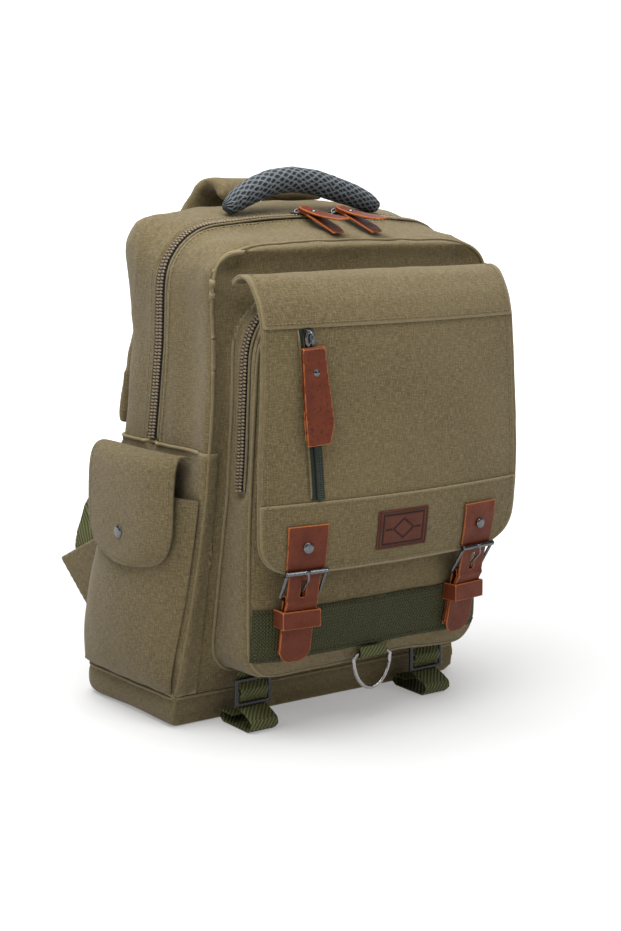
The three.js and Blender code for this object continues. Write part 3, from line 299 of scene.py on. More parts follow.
def paintWeave(piece, scaleWearAndShade=1.0):
    # A box-projected UV map in metres, and a bend field that gives wear on proud edges and painted shade in hollows
    mesh = piece.data
    co, normals, edges = coordinates(mesh), normalsOf(mesh), edgesOf(mesh)
    count = np.bincount(edges.ravel(), minlength=len(co))
    length = np.linalg.norm(co[edges[:, 0]] - co[edges[:, 1]], axis=1).mean()
    bend = ((co - neighbourMean(co, edges, count)) * normals).sum(1) / length
    for _ in range(2):
        bend = 0.4 * bend + 0.6 * neighbourMean(bend, edges, count)
    wearAndShade = mesh.attributes.get("wearAndShade") or mesh.attributes.new("wearAndShade", "FLOAT", "POINT")
    wearAndShade.data.foreach_set("value", np.clip(bend * 4 * scaleWearAndShade, -1, 1).astype(np.float32))
    while mesh.uv_layers:
        mesh.uv_layers.remove(mesh.uv_layers[0])
    uv = mesh.uv_layers.new(name="weave")
    loops = grab(mesh.loops, "vertex_index", 1, np.int32)
    faceNormal = np.abs(grab(mesh.polygons, "normal", 3))
    total = grab(mesh.polygons, "loop_total", 1, np.int32)
    axis = np.repeat(np.argmax(faceNormal * (1, 1, 0.9), axis=1), total)
    p = co[loops]
    u = np.where(axis == 0, p[:, 1], p[:, 0])
    v = np.where(axis == 2, p[:, 1], p[:, 2])
    uv.data.foreach_set("uv", np.stack([u, v], 1).astype(np.float32).ravel())
    mesh.polygons.foreach_set("use_smooth", np.ones(len(mesh.polygons), bool))
    mesh.update()
    return piece


def walled(piece, thickness):
    wall = piece.modifiers.new("wall", "SOLIDIFY")
    wall.thickness = thickness
    wall.offset = -1
    wall.use_even_offset = False
    return settled(piece)


# Materials

def newMaterial(name):
    finish = bpy.data.materials.new(name)
    finish.use_nodes = True
    net = finish.node_tree
    net.nodes.clear()
    out = net.nodes.new("ShaderNodeOutputMaterial")
    shader = net.nodes.new("ShaderNodeBsdfPrincipled")
    net.links.new(shader.outputs[0], out.inputs[0])
    return finish, net, shader


def placeOf(net):
    return net.nodes.new("ShaderNodeTexCoord").outputs["Object"]


def weaveOf(net):
    uv = net.nodes.new("ShaderNodeUVMap")
    uv.uv_map = "weave"
    return uv.outputs[0]


def attributeOf(net, name):
    read = net.nodes.new("ShaderNodeAttribute")
    read.attribute_name = name
    return read.outputs["Fac"]


def mixColour(net, factor, a, b, mode="MIX"):
    mix = net.nodes.new("ShaderNodeMix")
    mix.data_type = "RGBA"
    mix.blend_type = mode
    mix.clamp_factor = True
    for socket, value in ((mix.inputs[0], factor), (mix.inputs[6], a), (mix.inputs[7], b)):
        if isinstance(value, bpy.types.NodeSocket):
            net.links.new(value, socket)
        else:
            socket.default_value = value if isinstance(value, float) else (*value, 1)
    return mix.outputs[2]


def rangeOf(net, value, low, high, outLow=0.0, outHigh=1.0):
    step = net.nodes.new("ShaderNodeMapRange")
    net.links.new(value, step.inputs[0])
    for i, v in enumerate((low, high, outLow, outHigh), 1):
        step.inputs[i].default_value = v
    return step.outputs[0]


def mathNode(net, operation, a, b=0.0):
    step = net.nodes.new("ShaderNodeMath")
    step.operation = operation
    for socket, value in ((step.inputs[0], a), (step.inputs[1], b)):
        if isinstance(value, bpy.types.NodeSocket):
            net.links.new(value, socket)
        else:
            socket.default_value = value
    return step.outputs[0]


def noiseNode(net, vector, scale, detail=2.0, rough=0.5):
    step = net.nodes.new("ShaderNodeTexNoise")
    step.inputs["Scale"].default_value = scale
    step.inputs["Detail"].default_value = detail
    step.inputs["Roughness"].default_value = rough
    net.links.new(vector, step.inputs["Vector"])
    return step.outputs[0]


def stretched(net, vector, scale):
    step = net.nodes.new("ShaderNodeMapping")
    step.inputs["Scale"].default_value = scale
    net.links.new(vector, step.inputs["Vector"])
    return step.outputs[0]


def bumped(net, shader, height, distance, strength=1.0):
    bump = net.nodes.new("ShaderNodeBump")
    bump.inputs["Distance"].default_value = distance
    bump.inputs["Strength"].default_value = strength
    net.links.new(height, bump.inputs["Height"])
    net.links.new(bump.outputs[0], shader.inputs["Normal"])


canvasLook = {
    "base": (0.108, 0.080, 0.034), "dark": (0.038, 0.027, 0.010), "light": (0.205, 0.160, 0.076),
    "worn": (0.26, 0.21, 0.115), "thread": 0.0007, "slub": 0.016, "streak": 0.0058, "bump": 0.00007,
}


def canvasMaterial(name, look, shade=1.0):
    finish, net, shader = newMaterial(name)
    uv = weaveOf(net)
    fine = 1 / look["thread"]
    coarse = 4 / look["slub"]
    warp = noiseNode(net, stretched(net, uv, (fine, coarse, 1)), 1.0, 2.0, 0.6)
    weft = noiseNode(net, stretched(net, uv, (coarse, fine, 1)), 1.0, 2.0, 0.6)
    fleck = noiseNode(net, uv, fine * 0.9, 2.0, 0.6)
    place = placeOf(net)
    cloud = noiseNode(net, place, 9.0, 4.0, 0.6)
    threads = mathNode(net, "ADD", mathNode(net, "MULTIPLY", warp, 0.5), mathNode(net, "MULTIPLY", weft, 0.5))
    long, short = 1 / look["streak"], 6 / look["streak"]
    streaks = [noiseNode(net, stretched(net, uv, scale), 1.0, 1.0) for scale in ((long, short, 1), (short, long, 1))]
    slubs = mathNode(net, "MULTIPLY", mathNode(net, "ADD", *streaks), 0.25)
    grain = mathNode(net, "ADD", mathNode(net, "MULTIPLY", threads, 0.25), mathNode(net, "MULTIPLY", fleck, 0.25))
    heather = mathNode(net, "ADD", grain, slubs)
    base, dark, light, worn = (tuple(c * shade for c in look[key]) for key in ("base", "dark", "light", "worn"))
    colour = mixColour(net, rangeOf(net, heather, 0.5, 0.37, 0.0, 0.85), base, dark)
    colour = mixColour(net, rangeOf(net, heather, 0.5, 0.63, 0.0, 0.85), colour, light)
    colour = mixColour(net, rangeOf(net, cloud, 0.35, 0.7, 0.0, 0.22), colour, light)
    wearAndShade = attributeOf(net, "wearAndShade")
    colour = mixColour(net, rangeOf(net, wearAndShade, 0.2, 0.9, 0.0, 0.6), colour, worn)
    # Hollows and creases darken towards the dark tone: painted shade
    colour = mixColour(net, rangeOf(net, wearAndShade, -0.1, -0.7, 0.0, 0.55), colour, dark)
    net.links.new(colour, shader.inputs["Base Color"])
    shader.inputs["Roughness"].default_value = 0.93
    shader.inputs["Specular IOR Level"].default_value = 0.2
    shader.inputs["Sheen Weight"].default_value = 0.12
    shader.inputs["Sheen Roughness"].default_value = 0.6
    bumped(net, shader, heather, look["bump"] * 2)
    return finish


leatherLook = {
    "base": (0.125, 0.025, 0.008), "dark": (0.058, 0.011, 0.004), "edge": (0.36, 0.105, 0.026),
    "hollow": (0.012, 0.005, 0.003), "grain": 520.0, "bump": 0.00018
}


def leatherMaterial(name, look, grain=1.0, edges=True):
    finish, net, shader = newMaterial(name)
    place = placeOf(net)
    cloud = noiseNode(net, place, 60.0, 4.0, 0.6)
    pebble = net.nodes.new("ShaderNodeTexVoronoi")
    pebble.feature = "SMOOTH_F1"
    pebble.inputs["Scale"].default_value = look["grain"]
    net.links.new(place, pebble.inputs["Vector"])
    colour = mixColour(net, rangeOf(net, cloud, 0.35, 0.7, 0.0, 0.55), look["base"], look["dark"])
    colour = mixColour(net, rangeOf(net, pebble.outputs[0], 0.45, 0.75, 0.0, 0.35 * grain), colour, look["dark"])
    if edges:
        wearAndShade = attributeOf(net, "wearAndShade")
        colour = mixColour(net, rangeOf(net, wearAndShade, 0.4, 0.8, 0.0, 0.9), colour, look["edge"])
    # Pressed lines darken almost to black: painted shade in their grooves
    colour = mixColour(net, rangeOf(net, attributeOf(net, "pressed"), 0.2, 0.8, 0.0, 0.9), colour, look["hollow"])
    net.links.new(colour, shader.inputs["Base Color"])
    net.links.new(rangeOf(net, cloud, 0.3, 0.7, 0.42, 0.58), shader.inputs["Roughness"])
    shader.inputs["Specular IOR Level"].default_value = 0.2
    bumped(net, shader, mathNode(net, "MULTIPLY", pebble.outputs[0], -1.0), look["bump"] * grain)
    return finish


webbingLook = {
    "base": (0.021, 0.022, 0.005), "dark": (0.005, 0.006, 0.002), "light": (0.105, 0.105, 0.034), "rib": 0.0026,
    "row": 0.0030, "slant": 0.0, "bump": 0.0005
}
lashLook = {
    "base": (0.062, 0.066, 0.020), "dark": (0.020, 0.022, 0.007), "light": (0.135, 0.135, 0.048), "rib": 0.0030,
    "row": 0.0030, "slant": 0.7, "bump": 0.0005
}


def webbingMaterial(name, look, gridded=True):
    finish, net, shader = newMaterial(name)
    uv = weaveOf(net)
    split = net.nodes.new("ShaderNodeSeparateXYZ")
    turned = net.nodes.new("ShaderNodeMapping")
    turned.inputs["Rotation"].default_value = (0, 0, look["slant"])
    net.links.new(uv, turned.inputs["Vector"])
    net.links.new(turned.outputs[0], split.inputs[0])
    across = mathNode(net, "SINE", mathNode(net, "MULTIPLY", split.outputs[0], 2 * math.pi / look["rib"]))
    along = mathNode(net, "SINE", mathNode(net, "MULTIPLY", split.outputs[1], 2 * math.pi / look["row"]))
    cell = mathNode(net, "MULTIPLY", across, along) if gridded else across
    bothWays = mathNode(
        net, "ADD", mathNode(net, "MULTIPLY", across, 0.6), mathNode(net, "MULTIPLY", along, 0.4 if gridded else 0.12)
    )
    fray = noiseNode(net, uv, 900.0, 2.0)
    colour = mixColour(net, rangeOf(net, bothWays, 0.1, -0.8), look["base"], look["dark"])
    colour = mixColour(net, rangeOf(net, cell, 0.2, 0.9, 0.0, 0.75), colour, look["light"])
    colour = mixColour(net, rangeOf(net, fray, 0.45, 0.75, 0.0, 0.3), colour, look["light"])
    net.links.new(colour, shader.inputs["Base Color"])
    shader.inputs["Roughness"].default_value = 0.75
    shader.inputs["Specular IOR Level"].default_value = 0.3
    bumped(net, shader, bothWays, look["bump"])
    return finish


def metalMaterial(name, tone, rough):
    finish, net, shader = newMaterial(name)
    place = placeOf(net)
    scuff = noiseNode(net, place, 300.0, 5.0, 0.65)
    net.links.new(
        mixColour(net, rangeOf(net, scuff, 0.4, 0.7, 0.0, 0.35), tone, tuple(c * 0.6 for c in tone)),
        shader.inputs["Base Color"]
    )
    shader.inputs["Metallic"].default_value = 1.0
    net.links.new(rangeOf(net, scuff, 0.35, 0.7, rough, rough + 0.15), shader.inputs["Roughness"])
    bumped(net, shader, scuff, 0.00004)
    return finish


def plainMaterial(name, tone, rough, grainSize=900.0, metallic=0.0, bump=0.0001):
    finish, net, shader = newMaterial(name)
    place = placeOf(net)
    grain = noiseNode(net, place, grainSize, 3.0, 0.6)
    net.links.new(
        mixColour(net, rangeOf(net, grain, 0.35, 0.7, 0.0, 0.7), tone, tuple(c * 0.5 for c in tone)),
        shader.inputs["Base Color"]
    )
    net.links.new(rangeOf(net, grain, 0.3, 0.7, rough - 0.06, rough + 0.06), shader.inputs["Roughness"])
    shader.inputs["Metallic"].default_value = metallic
    bumped(net, shader, grain, bump)
    return finish


meshLook = {
    "base": (0.085, 0.10, 0.112), "light": (0.18, 0.205, 0.225), "hole": (0.003, 0.004, 0.005), "cell": 0.0092,
    "bump": 0.0010
}


def spacerMaterial(name, look):
    # Diamond holes in rows, on the handle's own UV map in metres
    finish, net, shader = newMaterial(name)
    uv = weaveOf(net)
    split = net.nodes.new("ShaderNodeSeparateXYZ")
    net.links.new(uv, split.inputs[0])
    turnRate = math.pi / look["cell"]
    plus = mathNode(
        net, "MULTIPLY", mathNode(net, "ADD", split.outputs[0], mathNode(net, "MULTIPLY", split.outputs[1], 1.5)),
        turnRate
    )
    minus = mathNode(
        net, "MULTIPLY",
        mathNode(net, "SUBTRACT", split.outputs[0], mathNode(net, "MULTIPLY", split.outputs[1], 1.5)), turnRate
    )
    diamond = mathNode(net, "MULTIPLY", mathNode(net, "SINE", plus), mathNode(net, "SINE", minus))
    hole = mathNode(net, "ABSOLUTE", diamond)
    yarn = noiseNode(net, uv, 1500.0, 2.0)
    colour = mixColour(net, rangeOf(net, yarn, 0.4, 0.7, 0.0, 0.6), look["base"], look["light"])
    colour = mixColour(net, rangeOf(net, hole, 0.3, 0.55), colour, look["hole"])
    net.links.new(colour, shader.inputs["Base Color"])
    shader.inputs["Roughness"].default_value = 0.8
    bumped(net, shader, mathNode(net, "MULTIPLY", hole, -1.0), look["bump"])
    return finish


canvas = canvasMaterial("heatheredCanvas", canvasLook)
# A copy of the canvas, every tone 1.25 times lighter, for the yoke lips: painted highlight along the fold, with its
# wear
canvasPale = canvasMaterial("wornLitCanvas", canvasLook, 1.25)
leather = leatherMaterial("redBrownLeather", leatherLook)
pebbled = leatherMaterial("pebbledLeather", leatherLook, 2.2)
plainLeather = leatherMaterial("patchLeather", {**leatherLook, "base": (0.088, 0.024, 0.011)}, 1.0, False)
webbing = webbingMaterial("ribbedWebbing", webbingLook)
strapWebbing = webbingMaterial("narrowWebbing", lashLook, False)
gunmetal = metalMaterial("gunmetal", (0.13, 0.13, 0.135), 0.16)
nickel = metalMaterial("nickelRing", (0.33, 0.32, 0.31), 0.18)
spacer = spacerMaterial("spacerMesh", meshLook)
bronzeTape = plainMaterial("bronzeZipTape", (0.022, 0.017, 0.012), 0.85)
bronzeTeeth = plainMaterial("bronzeZipTeeth", (0.23, 0.175, 0.105), 0.38, 500.0, 0.2)
greenTape = plainMaterial("greenZipTape", (0.008, 0.014, 0.006), 0.8)
greenTeeth = plainMaterial("greenZipTeeth", (0.035, 0.045, 0.034), 0.38, 500.0, 0.3)
blackPlastic = plainMaterial("blackPlastic", (0.010, 0.010, 0.010), 0.28)
darkThread = plainMaterial("darkThread", (0.016, 0.009, 0.005), 0.8)
khakiThread = plainMaterial("khakiThread", (0.20, 0.158, 0.084), 0.85)
print("backpack: materials made")


# What repeats along a line: stitches and zip teeth, by Geometry Nodes

def repeatTree(name):
    tree = bpy.data.node_groups.new(name, "GeometryNodeTree")
    face = tree.interface
    face.new_socket("Line", in_out="INPUT", socket_type="NodeSocketGeometry")
    face.new_socket("Spacing", in_out="INPUT", socket_type="NodeSocketFloat")
    face.new_socket("Size", in_out="INPUT", socket_type="NodeSocketVector")
    face.new_socket("Finish", in_out="INPUT", socket_type="NodeSocketMaterial")
    face.new_socket("Geometry", in_out="OUTPUT", socket_type="NodeSocketGeometry")
    nodes, links = tree.nodes, tree.links
    given, out = nodes.new("NodeGroupInput"), nodes.new("NodeGroupOutput")
    curve = nodes.new("GeometryNodeMeshToCurve")
    even = nodes.new("GeometryNodeResampleCurve")
    even.mode = "LENGTH"
    bead = nodes.new("GeometryNodeMeshUVSphere")
    bead.inputs["Segments"].default_value = 8
    bead.inputs["Rings"].default_value = 5
    bead.inputs["Radius"].default_value = 0.5
    tangent = nodes.new("GeometryNodeInputTangent")
    facing = nodes.new("GeometryNodeInputNamedAttribute")
    facing.data_type = "FLOAT_VECTOR"
    facing.inputs["Name"].default_value = "facing"
    first, second = nodes.new("FunctionNodeAlignRotationToVector"), nodes.new("FunctionNodeAlignRotationToVector")
    first.axis, second.axis, second.pivot_axis = "X", "Z", "X"
    place = nodes.new("GeometryNodeInstanceOnPoints")
    real = nodes.new("GeometryNodeRealizeInstances")
    paint = nodes.new("GeometryNodeSetMaterial")
    links.new(given.outputs["Line"], curve.inputs[0])
    links.new(curve.outputs[0], even.inputs["Curve"])
    links.new(given.outputs["Spacing"], even.inputs["Length"])
    links.new(tangent.outputs[0], first.inputs["Vector"])
    links.new(first.outputs[0], second.inputs["Rotation"])
    links.new(facing.outputs[0], second.inputs["Vector"])
    links.new(even.outputs[0], place.inputs["Points"])
    links.new(bead.outputs[0], place.inputs["Instance"])
    links.new(second.outputs[0], place.inputs["Rotation"])
    links.new(given.outputs["Size"], place.inputs["Scale"])
    links.new(place.outputs[0], real.inputs[0])
    links.new(real.outputs[0], paint.inputs["Geometry"])
    links.new(given.outputs["Finish"], paint.inputs["Material"])
    links.new(paint.outputs[0], out.inputs[0])
    return tree


repeats = repeatTree("repeatAlongLine")


def repeatAlong(name, rails, spacing, size, finish, body="pack"):
    # rails: (points, facings) pairs
    points, facings, edges = [], [], []
    for line, up in rails:
        start = len(points)
        points.extend(map(tuple, line))
        facings.extend(map(tuple, up))
        edges.extend((start + i, start + i + 1) for i in range(len(line) - 1))
    mesh = meshFrom(name, points, (), edges)
    facing = mesh.attributes.new("facing", "FLOAT_VECTOR", "POINT")
    facing.data.foreach_set("vector", np.array(facings, np.float32).ravel())
    piece = newObject(name, mesh)
    step = piece.modifiers.new("repeat", "NODES")
    step.node_group = repeats
    for item in repeats.interface.items_tree:
        if item.in_out == "INPUT" and item.name == "Spacing":
            step[item.identifier] = spacing
        elif item.in_out == "INPUT" and item.name == "Size":
            step[item.identifier] = size
        elif item.in_out == "INPUT" and item.name == "Finish":
            step[item.identifier] = finish
    settled(piece)
    piece.data.polygons.foreach_set("use_smooth", np.ones(len(piece.data.polygons), bool))
    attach(piece, body)
    return piece


def railOn(tree, points, lift=0.0003, step=0.0015):
    line, up = [], []
    for p in resampled(points, step):
        at, normal, _, _ = tree.find_nearest(Vector(p))
        line.append(at + normal * lift)
        up.append(normal)
    return line, up


def evened(line, up, passes=10):
    return softened(np.array(line), passes), unit(softened(np.array(up), passes))


def railSeen(tree, points, direction, lift=0.0003, step=0.0015):
    # Points cast along a direction on to a piece
    line, up = [], []
    way = Vector(direction).normalized()
    for p in resampled(points, step):
        at, normal, _, _ = tree.ray_cast(Vector(p) - way * 0.3, way)
        if at is not None:
            line.append(at + normal * lift)
            up.append(normal)
    return line, up


def tube(name, points, radius, finish, body="pack", sides=8, flat=1.0, up=None):
    # A closed round cord along points, for rolled seams
    line = np.array([tuple(p) for p in points])
    verts, faces = [], []
    for i, p in enumerate(line):
        t = line[min(i + 1, len(line) - 1)] - line[max(i - 1, 0)]
        t = t / np.linalg.norm(t)
        n = np.array(up[i]) if up is not None else np.array((0, 0, 1.0))
        n = n - t * (n @ t)
        n = n / max(np.linalg.norm(n), 1e-9)
        s = np.cross(t, n)
        taper = min(1.0, 0.35 + min(i, len(line) - 1 - i) * 0.4)
        for k in range(sides):
            a = 2 * math.pi * k / sides
            verts.append(p + (s * math.cos(a) + n * math.sin(a) * flat) * radius * taper)
    for i in range(len(line) - 1):
        for k in range(sides):
            a, b = i * sides + k, i * sides + (k + 1) % sides
            faces.append((a, b, b + sides, a + sides))
    faces.append(tuple(reversed(range(sides))))
    faces.append(tuple(range((len(line) - 1) * sides, len(line) * sides)))
    mesh = meshFrom(name, verts, faces)
    bm = bmesh.new()
    bm.from_mesh(mesh)
    bmesh.ops.recalc_face_normals(bm, faces=bm.faces)
    bm.to_mesh(mesh)
    bm.free()
    piece = newObject(name, mesh, finish)
    paintWeave(piece)
    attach(piece, body)
    return piece


def dress(piece, finish, stands, body="pack", wearAndShade=1.0):
    # The last argument scales the bend field: wear on proud edges, painted shade in hollows
    piece.data.materials.clear()
    piece.data.materials.append(finish)
    paintWeave(piece, wearAndShade)
    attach(piece, body)
    if stands:
        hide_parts(*stands)
    return piece


def puffed(piece, voxel, pressure, cap):
    # A padded piece blown up a little by the cloth solver, each point's way capped
    even = piece.modifiers.new("even", "REMESH")
    even.mode = "VOXEL"
    even.voxel_size = voxel
    settled(piece)
    before = coordinates(piece.data)
    air = piece.modifiers.new("air", "CLOTH")
    air.settings.use_pressure = True
    air.settings.uniform_pressure_force = pressure
    air.settings.effector_weights.gravity = 0
    air.point_cache.frame_start, air.point_cache.frame_end = 1, 20
    for step in range(1, 21):
        bpy.context.scene.frame_set(step)
    settled(piece)
    bpy.context.scene.frame_set(1)
    move = coordinates(piece.data) - before
    far = np.linalg.norm(move, axis=1)
    setCoordinates(piece.data, before + move * (np.minimum(far, cap) / np.maximum(far, 1e-9))[:, None])
    finer = piece.modifiers.new("finer", "SUBSURF")
    finer.levels = finer.render_levels = 1
    return settled(piece)


# The zips' middle lines: x, y, z and the way that they face, in millimetres
mainZip = [
    (-146, 2, 246.3, -1, 0, .02), (-145.3, -3.4, 281, -1, 0, .01), (-144.8, -10.5, 328.5, -1, 0, -.02),
    (-147.1, -17.2, 376, -1, 0, -.03), (-146.3, -18.8, 387.1, -.98, 0, .2), (-142.6, -20.2, 397.9, -.9, 0, .45),
    (-136.1, -21.5, 407.6, -.76, 0, .65), (-127.4, -22.4, 415.5, -.58, 0, .81), (-117.2, -22.9, 421.1, -.37, 0, .93),
    (-106.3, -23.2, 423.8, -.11, 0, .99), (-53.1, -23.7, 428.5, -.06, 0, 1), (0, -23.8, 430, 0, 0, 1),
]
mainZip += [(-x, y, z, -a, b, c) for x, y, z, a, b, c in mainZip[-2::-1]]
pocketZip = [
    (-122, -95.6, 212.3, -1, 0, 0), (-122, -98.8, 237.7, -1, 0, 0), (-122, -101.8, 281.8, -1, 0, 0),
    (-122, -105.3, 326, -1, 0, .04), (-119.9, -107.4, 339.1, -.95, 0, .3), (-114, -109.1, 351.2, -.82, 0, .57),
    (-104.7, -110, 361, -.62, 0, .79), (-93, -110.4, 367.6, -.35, 0, .94), (-80, -110.6, 370.3, -.07, 0, 1),
    (-40, -110.7, 371.6, -.02, 0, 1), (0, -110.7, 372, 0, 0, 1),
]
pocketZip += [(-x, y, z, -a, b, c) for x, y, z, a, b, c in pocketZip[-2::-1]]


def zipLine(table, step=0.002, passes=10):
    data = np.array(table) / ([1000] * 3 + [1] * 3)
    line = smoothLine(data[:, :3], step, passes)
    at = lengthsAlong(data[:, :3])
    where = np.linspace(0, at[-1], len(line))
    up = np.stack([np.interp(where, at, data[:, 3 + k]) for k in range(3)], 1)
    return line, unit(softened(up, 20))


mainLine, mainUp = zipLine(mainZip)
pocketLine, pocketUp = zipLine(pocketZip)

# The body and the front pocket: one even skin over the CAD panels, then cut along its seams
skinLook = {
    "grid": 0.0028, "evenings": 18, "baseSeam": 0.0268, "wall": 0.0016, "groove": 0.0022, "lip": 0.0009,
    "lipAt": 0.0115, "grooveHalf": 0.0095,
    "creases": [
        (0.0022, 0.085, 2, (1, 1, 0.55)), (0.0011, 0.036, 4, (1, 1, 0.6)), (0.0013, 0.06, 3, (1.2, 1.2, 0.45)),
        (0.0004, 0.014, 6, (1, 1, 1))
    ]
}
bodyNodes = ["rear_body", "front_body", "base_panel", "main_zip"]
pocketNodes = ["front_pocket", "pocket_zip"]
skin = remeshed("canvas_skin", bodyNodes + pocketNodes, skinLook["grid"], skinLook["evenings"], 0.25, True)
print("backpack: skin has", len(skin.data.polygons), "faces")
lineTree = kdOf([*mainLine, *pocketLine])


def zipDistance(co):
    return distanceTo(lineTree, co)


def awayFromZips(co):
    return np.clip((zipDistance(co) - 0.012) / 0.02, 0, 1) * np.clip((co[:, 2] - 0.004) / 0.03, 0.1, 1)


crumple(skin.data, skinLook["creases"], awayFromZips)
# Dents: place, size and depth in millimetres
dents = [
    ((-117, -93, 393), (20, 26, 17), 6), ((-146, -55, 330), (40, 20, 75), 3.5),
    ((-149, -42, 160), (40, 22, 60), -2.5), ((-150, 40, 350), (40, 32, 60), 3), ((-152, 30, 300), (40, 22, 20), -2),
    ((118, -93, 393), (20, 26, 17), 5), ((146, -55, 320), (40, 20, 75), 3), ((-60, -40, 426), (50, 26, 40), 3.5),
    ((70, -60, 424), (44, 22, 40), 3), ((-112, -120, 130), (30, 40, 60), -1.5), ((30, -100, 66), (70, 40, 26), 2),
]


def dent(mesh):
    co, normals = coordinates(mesh), normalsOf(mesh)
    shift = np.zeros(len(co))
    for place, size, depth in dents:
        shift += depth / 1000 * np.exp(-((((co * 1000 - place) / size) ** 2).sum(1)))
    setCoordinates(mesh, co - normals * (shift * np.clip((zipDistance(co) - 0.009) / 0.012, 0, 1))[:, None])


seamTree = treeOf(skin.data)
dent(skin.data)


# Seams with piping: rows of points and ways, cast on to the skin from outside
bodyFront = np.array(
    [(27, -42.9, 156.5), (60, -51, 152.9), (120, -62.8, 147.7), (200, -77.6, 143.7), (280, -86.7, 142.3), (340, -88.2, 142.2), (400, -91, 145.8)]
) / 1000
pocketFace = np.array(
    [(51, -105.2), (80, -106.3), (120, -107.1), (160, -108.3), (200, -110.2), (260, -115.5), (320, -121.3), (350, -129.2)]
) / 1000
piping = {
    "radius": 0.0015, "valley": 0.0015, "reach": 0.0042, "pocketHalf": 0.122, "pocketFoot": 0.051, "corner": 0.026
}


def castOn(tree, rows, reach=0.12):
    hits = []
    for target, way in rows:
        way = Vector(way).normalized()
        at = tree.ray_cast(Vector(target) - way * reach, way)[0]
        if at is not None:
            hits.append(tuple(at))
    return hits


def depthAt(table, z, column=1):
    return float(np.interp(z, table[:, 0], table[:, column]))


def mirrored(rows):
    return rows + [((-p[0], p[1], p[2]), (-w[0], w[1], w[2])) for p, w in rows[::-1]]


def frontEdgeRows():
    rows = []
    for z in np.linspace(0.030, 0.362, 60):
        rows.append(((-depthAt(bodyFront, z, 2), depthAt(bodyFront, z), z), (1, 1, 0)))
    for x, y, z, a, _, c in zipTops:
        rows.append(((x * 0.982, -0.0915, z - 0.004), (-a, 1, -c)))
    return mirrored(rows)


def pocketRows(table, back=0.0, spread=0.0):
    # Down the pocket's left edge, round the corner and along its foot, then mirrored
    def row(x, z, a, c):
        return (x, depthAt(table, z) - back, z), (-a, 1, -c)

    half, foot, corner = piping["pocketHalf"] + spread, piping["pocketFoot"] - spread, piping["corner"]
    rows = [row(-half, z, -1, 0) for z in np.linspace(0.335, foot + corner, 50)]
    for a in np.linspace(math.pi, 1.5 * math.pi, 14):
        x, z = -half + corner + corner * math.cos(a), foot + corner + corner * math.sin(a)
        rows.append(row(x, z, math.cos(a), math.sin(a)))
    rows += [row(x, foot, 0, -1) for x in np.linspace(-half + corner, -0.004, 20)]
    return mirrored(rows)


zipTops = [(x / 1000, y / 1000, z / 1000, a, b, c) for x, y, z, a, b, c in mainZip[3:12]]
baseRows = [
    ((0.16 * math.cos(t), 0.035 + 0.12 * math.sin(t), skinLook["baseSeam"]), (-math.cos(t), -math.sin(t), 0))
    for t in np.linspace(-math.pi / 2, 1.5 * math.pi, 161)
]
seamLines = {
    "front_edge": smoothLine(castOn(seamTree, frontEdgeRows()), 0.002, 14),
    "base_edge": smoothLine(castOn(seamTree, baseRows, 0.3), 0.002, 8),
    "pocket_edge": smoothLine(castOn(seamTree, pocketRows(pocketFace)), 0.002, 14),
}
pocketRoot = [p for p, _ in pocketRows(bodyFront, 0.0015, 0.0015)]
co, normals = coordinates(skin.data), normalsOf(skin.data)
fromSeam = distanceTo(kdOf(np.concatenate(list(seamLines.values()))), co)
setCoordinates(skin.data, co - normals * (piping["valley"] * np.exp(-(fromSeam / piping["reach"]) ** 2))[:, None])
co, normals = coordinates(skin.data), normalsOf(skin.data)
away = zipDistance(co)
groove = -skinLook["groove"] * np.clip((skinLook["grooveHalf"] - away) / 0.003, 0, 1)
groove += skinLook["lip"] * np.exp(-(((away - skinLook["lipAt"]) / 0.0022) ** 2))
setCoordinates(skin.data, co + normals * groove[:, None])

bodyTree = treeOf(cadCopy("bodyGuide", bodyNodes).data)
pocketTree = treeOf(cadCopy("pocketGuide", pocketNodes).data)
zipSlope = np.array(
    [(430, -23.8), (376, -17.2), (328.5, -10.5), (281, -3.4), (246.3, 2), (120, 12), (0, 16)][::-1]
) / 1000


def zipDepth(z):
    return depthAt(zipSlope, z)


def cutPanels():
    bm = bmesh.new()
    bm.from_mesh(skin.data)
    sliced(bm, (0, 0, skinLook["baseSeam"]), (0, 0, 1))
    for v in bm.verts:
        v.co.y -= zipDepth(v.co.z)
    sliced(bm, (0, 0, 0), (0, 1, 0))
    for v in bm.verts:
        v.co.y += zipDepth(v.co.z)
    groups = {"body_rear": [], "body_front": [], "body_base": [], "pocket_front": []}
    for f in bm.faces:
        middle = f.calc_center_median()
        nearBody, nearPocket = bodyTree.find_nearest(middle)[3], pocketTree.find_nearest(middle)[3]
        if nearPocket < nearBody:
            groups["pocket_front"].append(f.index)
        elif middle.z < skinLook["baseSeam"]:
            groups["body_base"].append(f.index)
        else:
            groups["body_rear" if middle.y > zipDepth(middle.z) else "body_front"].append(f.index)
    made = {}
    for name, members in groups.items():
        part = bm.copy()
        part.faces.ensure_lookup_table()
        chosen = set(members)
        bmesh.ops.delete(part, geom=[f for f in part.faces if f.index not in chosen], context="FACES")
        made[name] = newObject(name, meshOf(part, name))
    bm.free()
    return made


paintWeave(skin)
skinTree = treeOf(skin.data)
panels = cutPanels()
stands = {
    "body_rear": "rear_body", "body_front": "front_body", "body_base": "base_panel", "pocket_front": "front_pocket"
}
for name, piece in panels.items():
    dress(walled(piece, skinLook["wall"]), canvas, [stands[name]])
print("backpack: body panels done")


def panelFromSkin(name, cuts, test, lift, thickness, finish, stands):
    # A layer that lies on the skin: cuts are planes (point, normal), test chooses its faces
    bm = bmesh.new()
    bm.from_mesh(skin.data)
    for point, normal in cuts:
        sliced(bm, point, normal)
    bmesh.ops.delete(bm, geom=[f for f in bm.faces if not test(f.calc_center_median(), f.normal)], context="FACES")
    bm.normal_update()
    for v in bm.verts:
        v.co += v.normal * lift
    piece = walled(newObject(name, meshOf(bm, name)), thickness)
    return dress(piece, finish, stands)


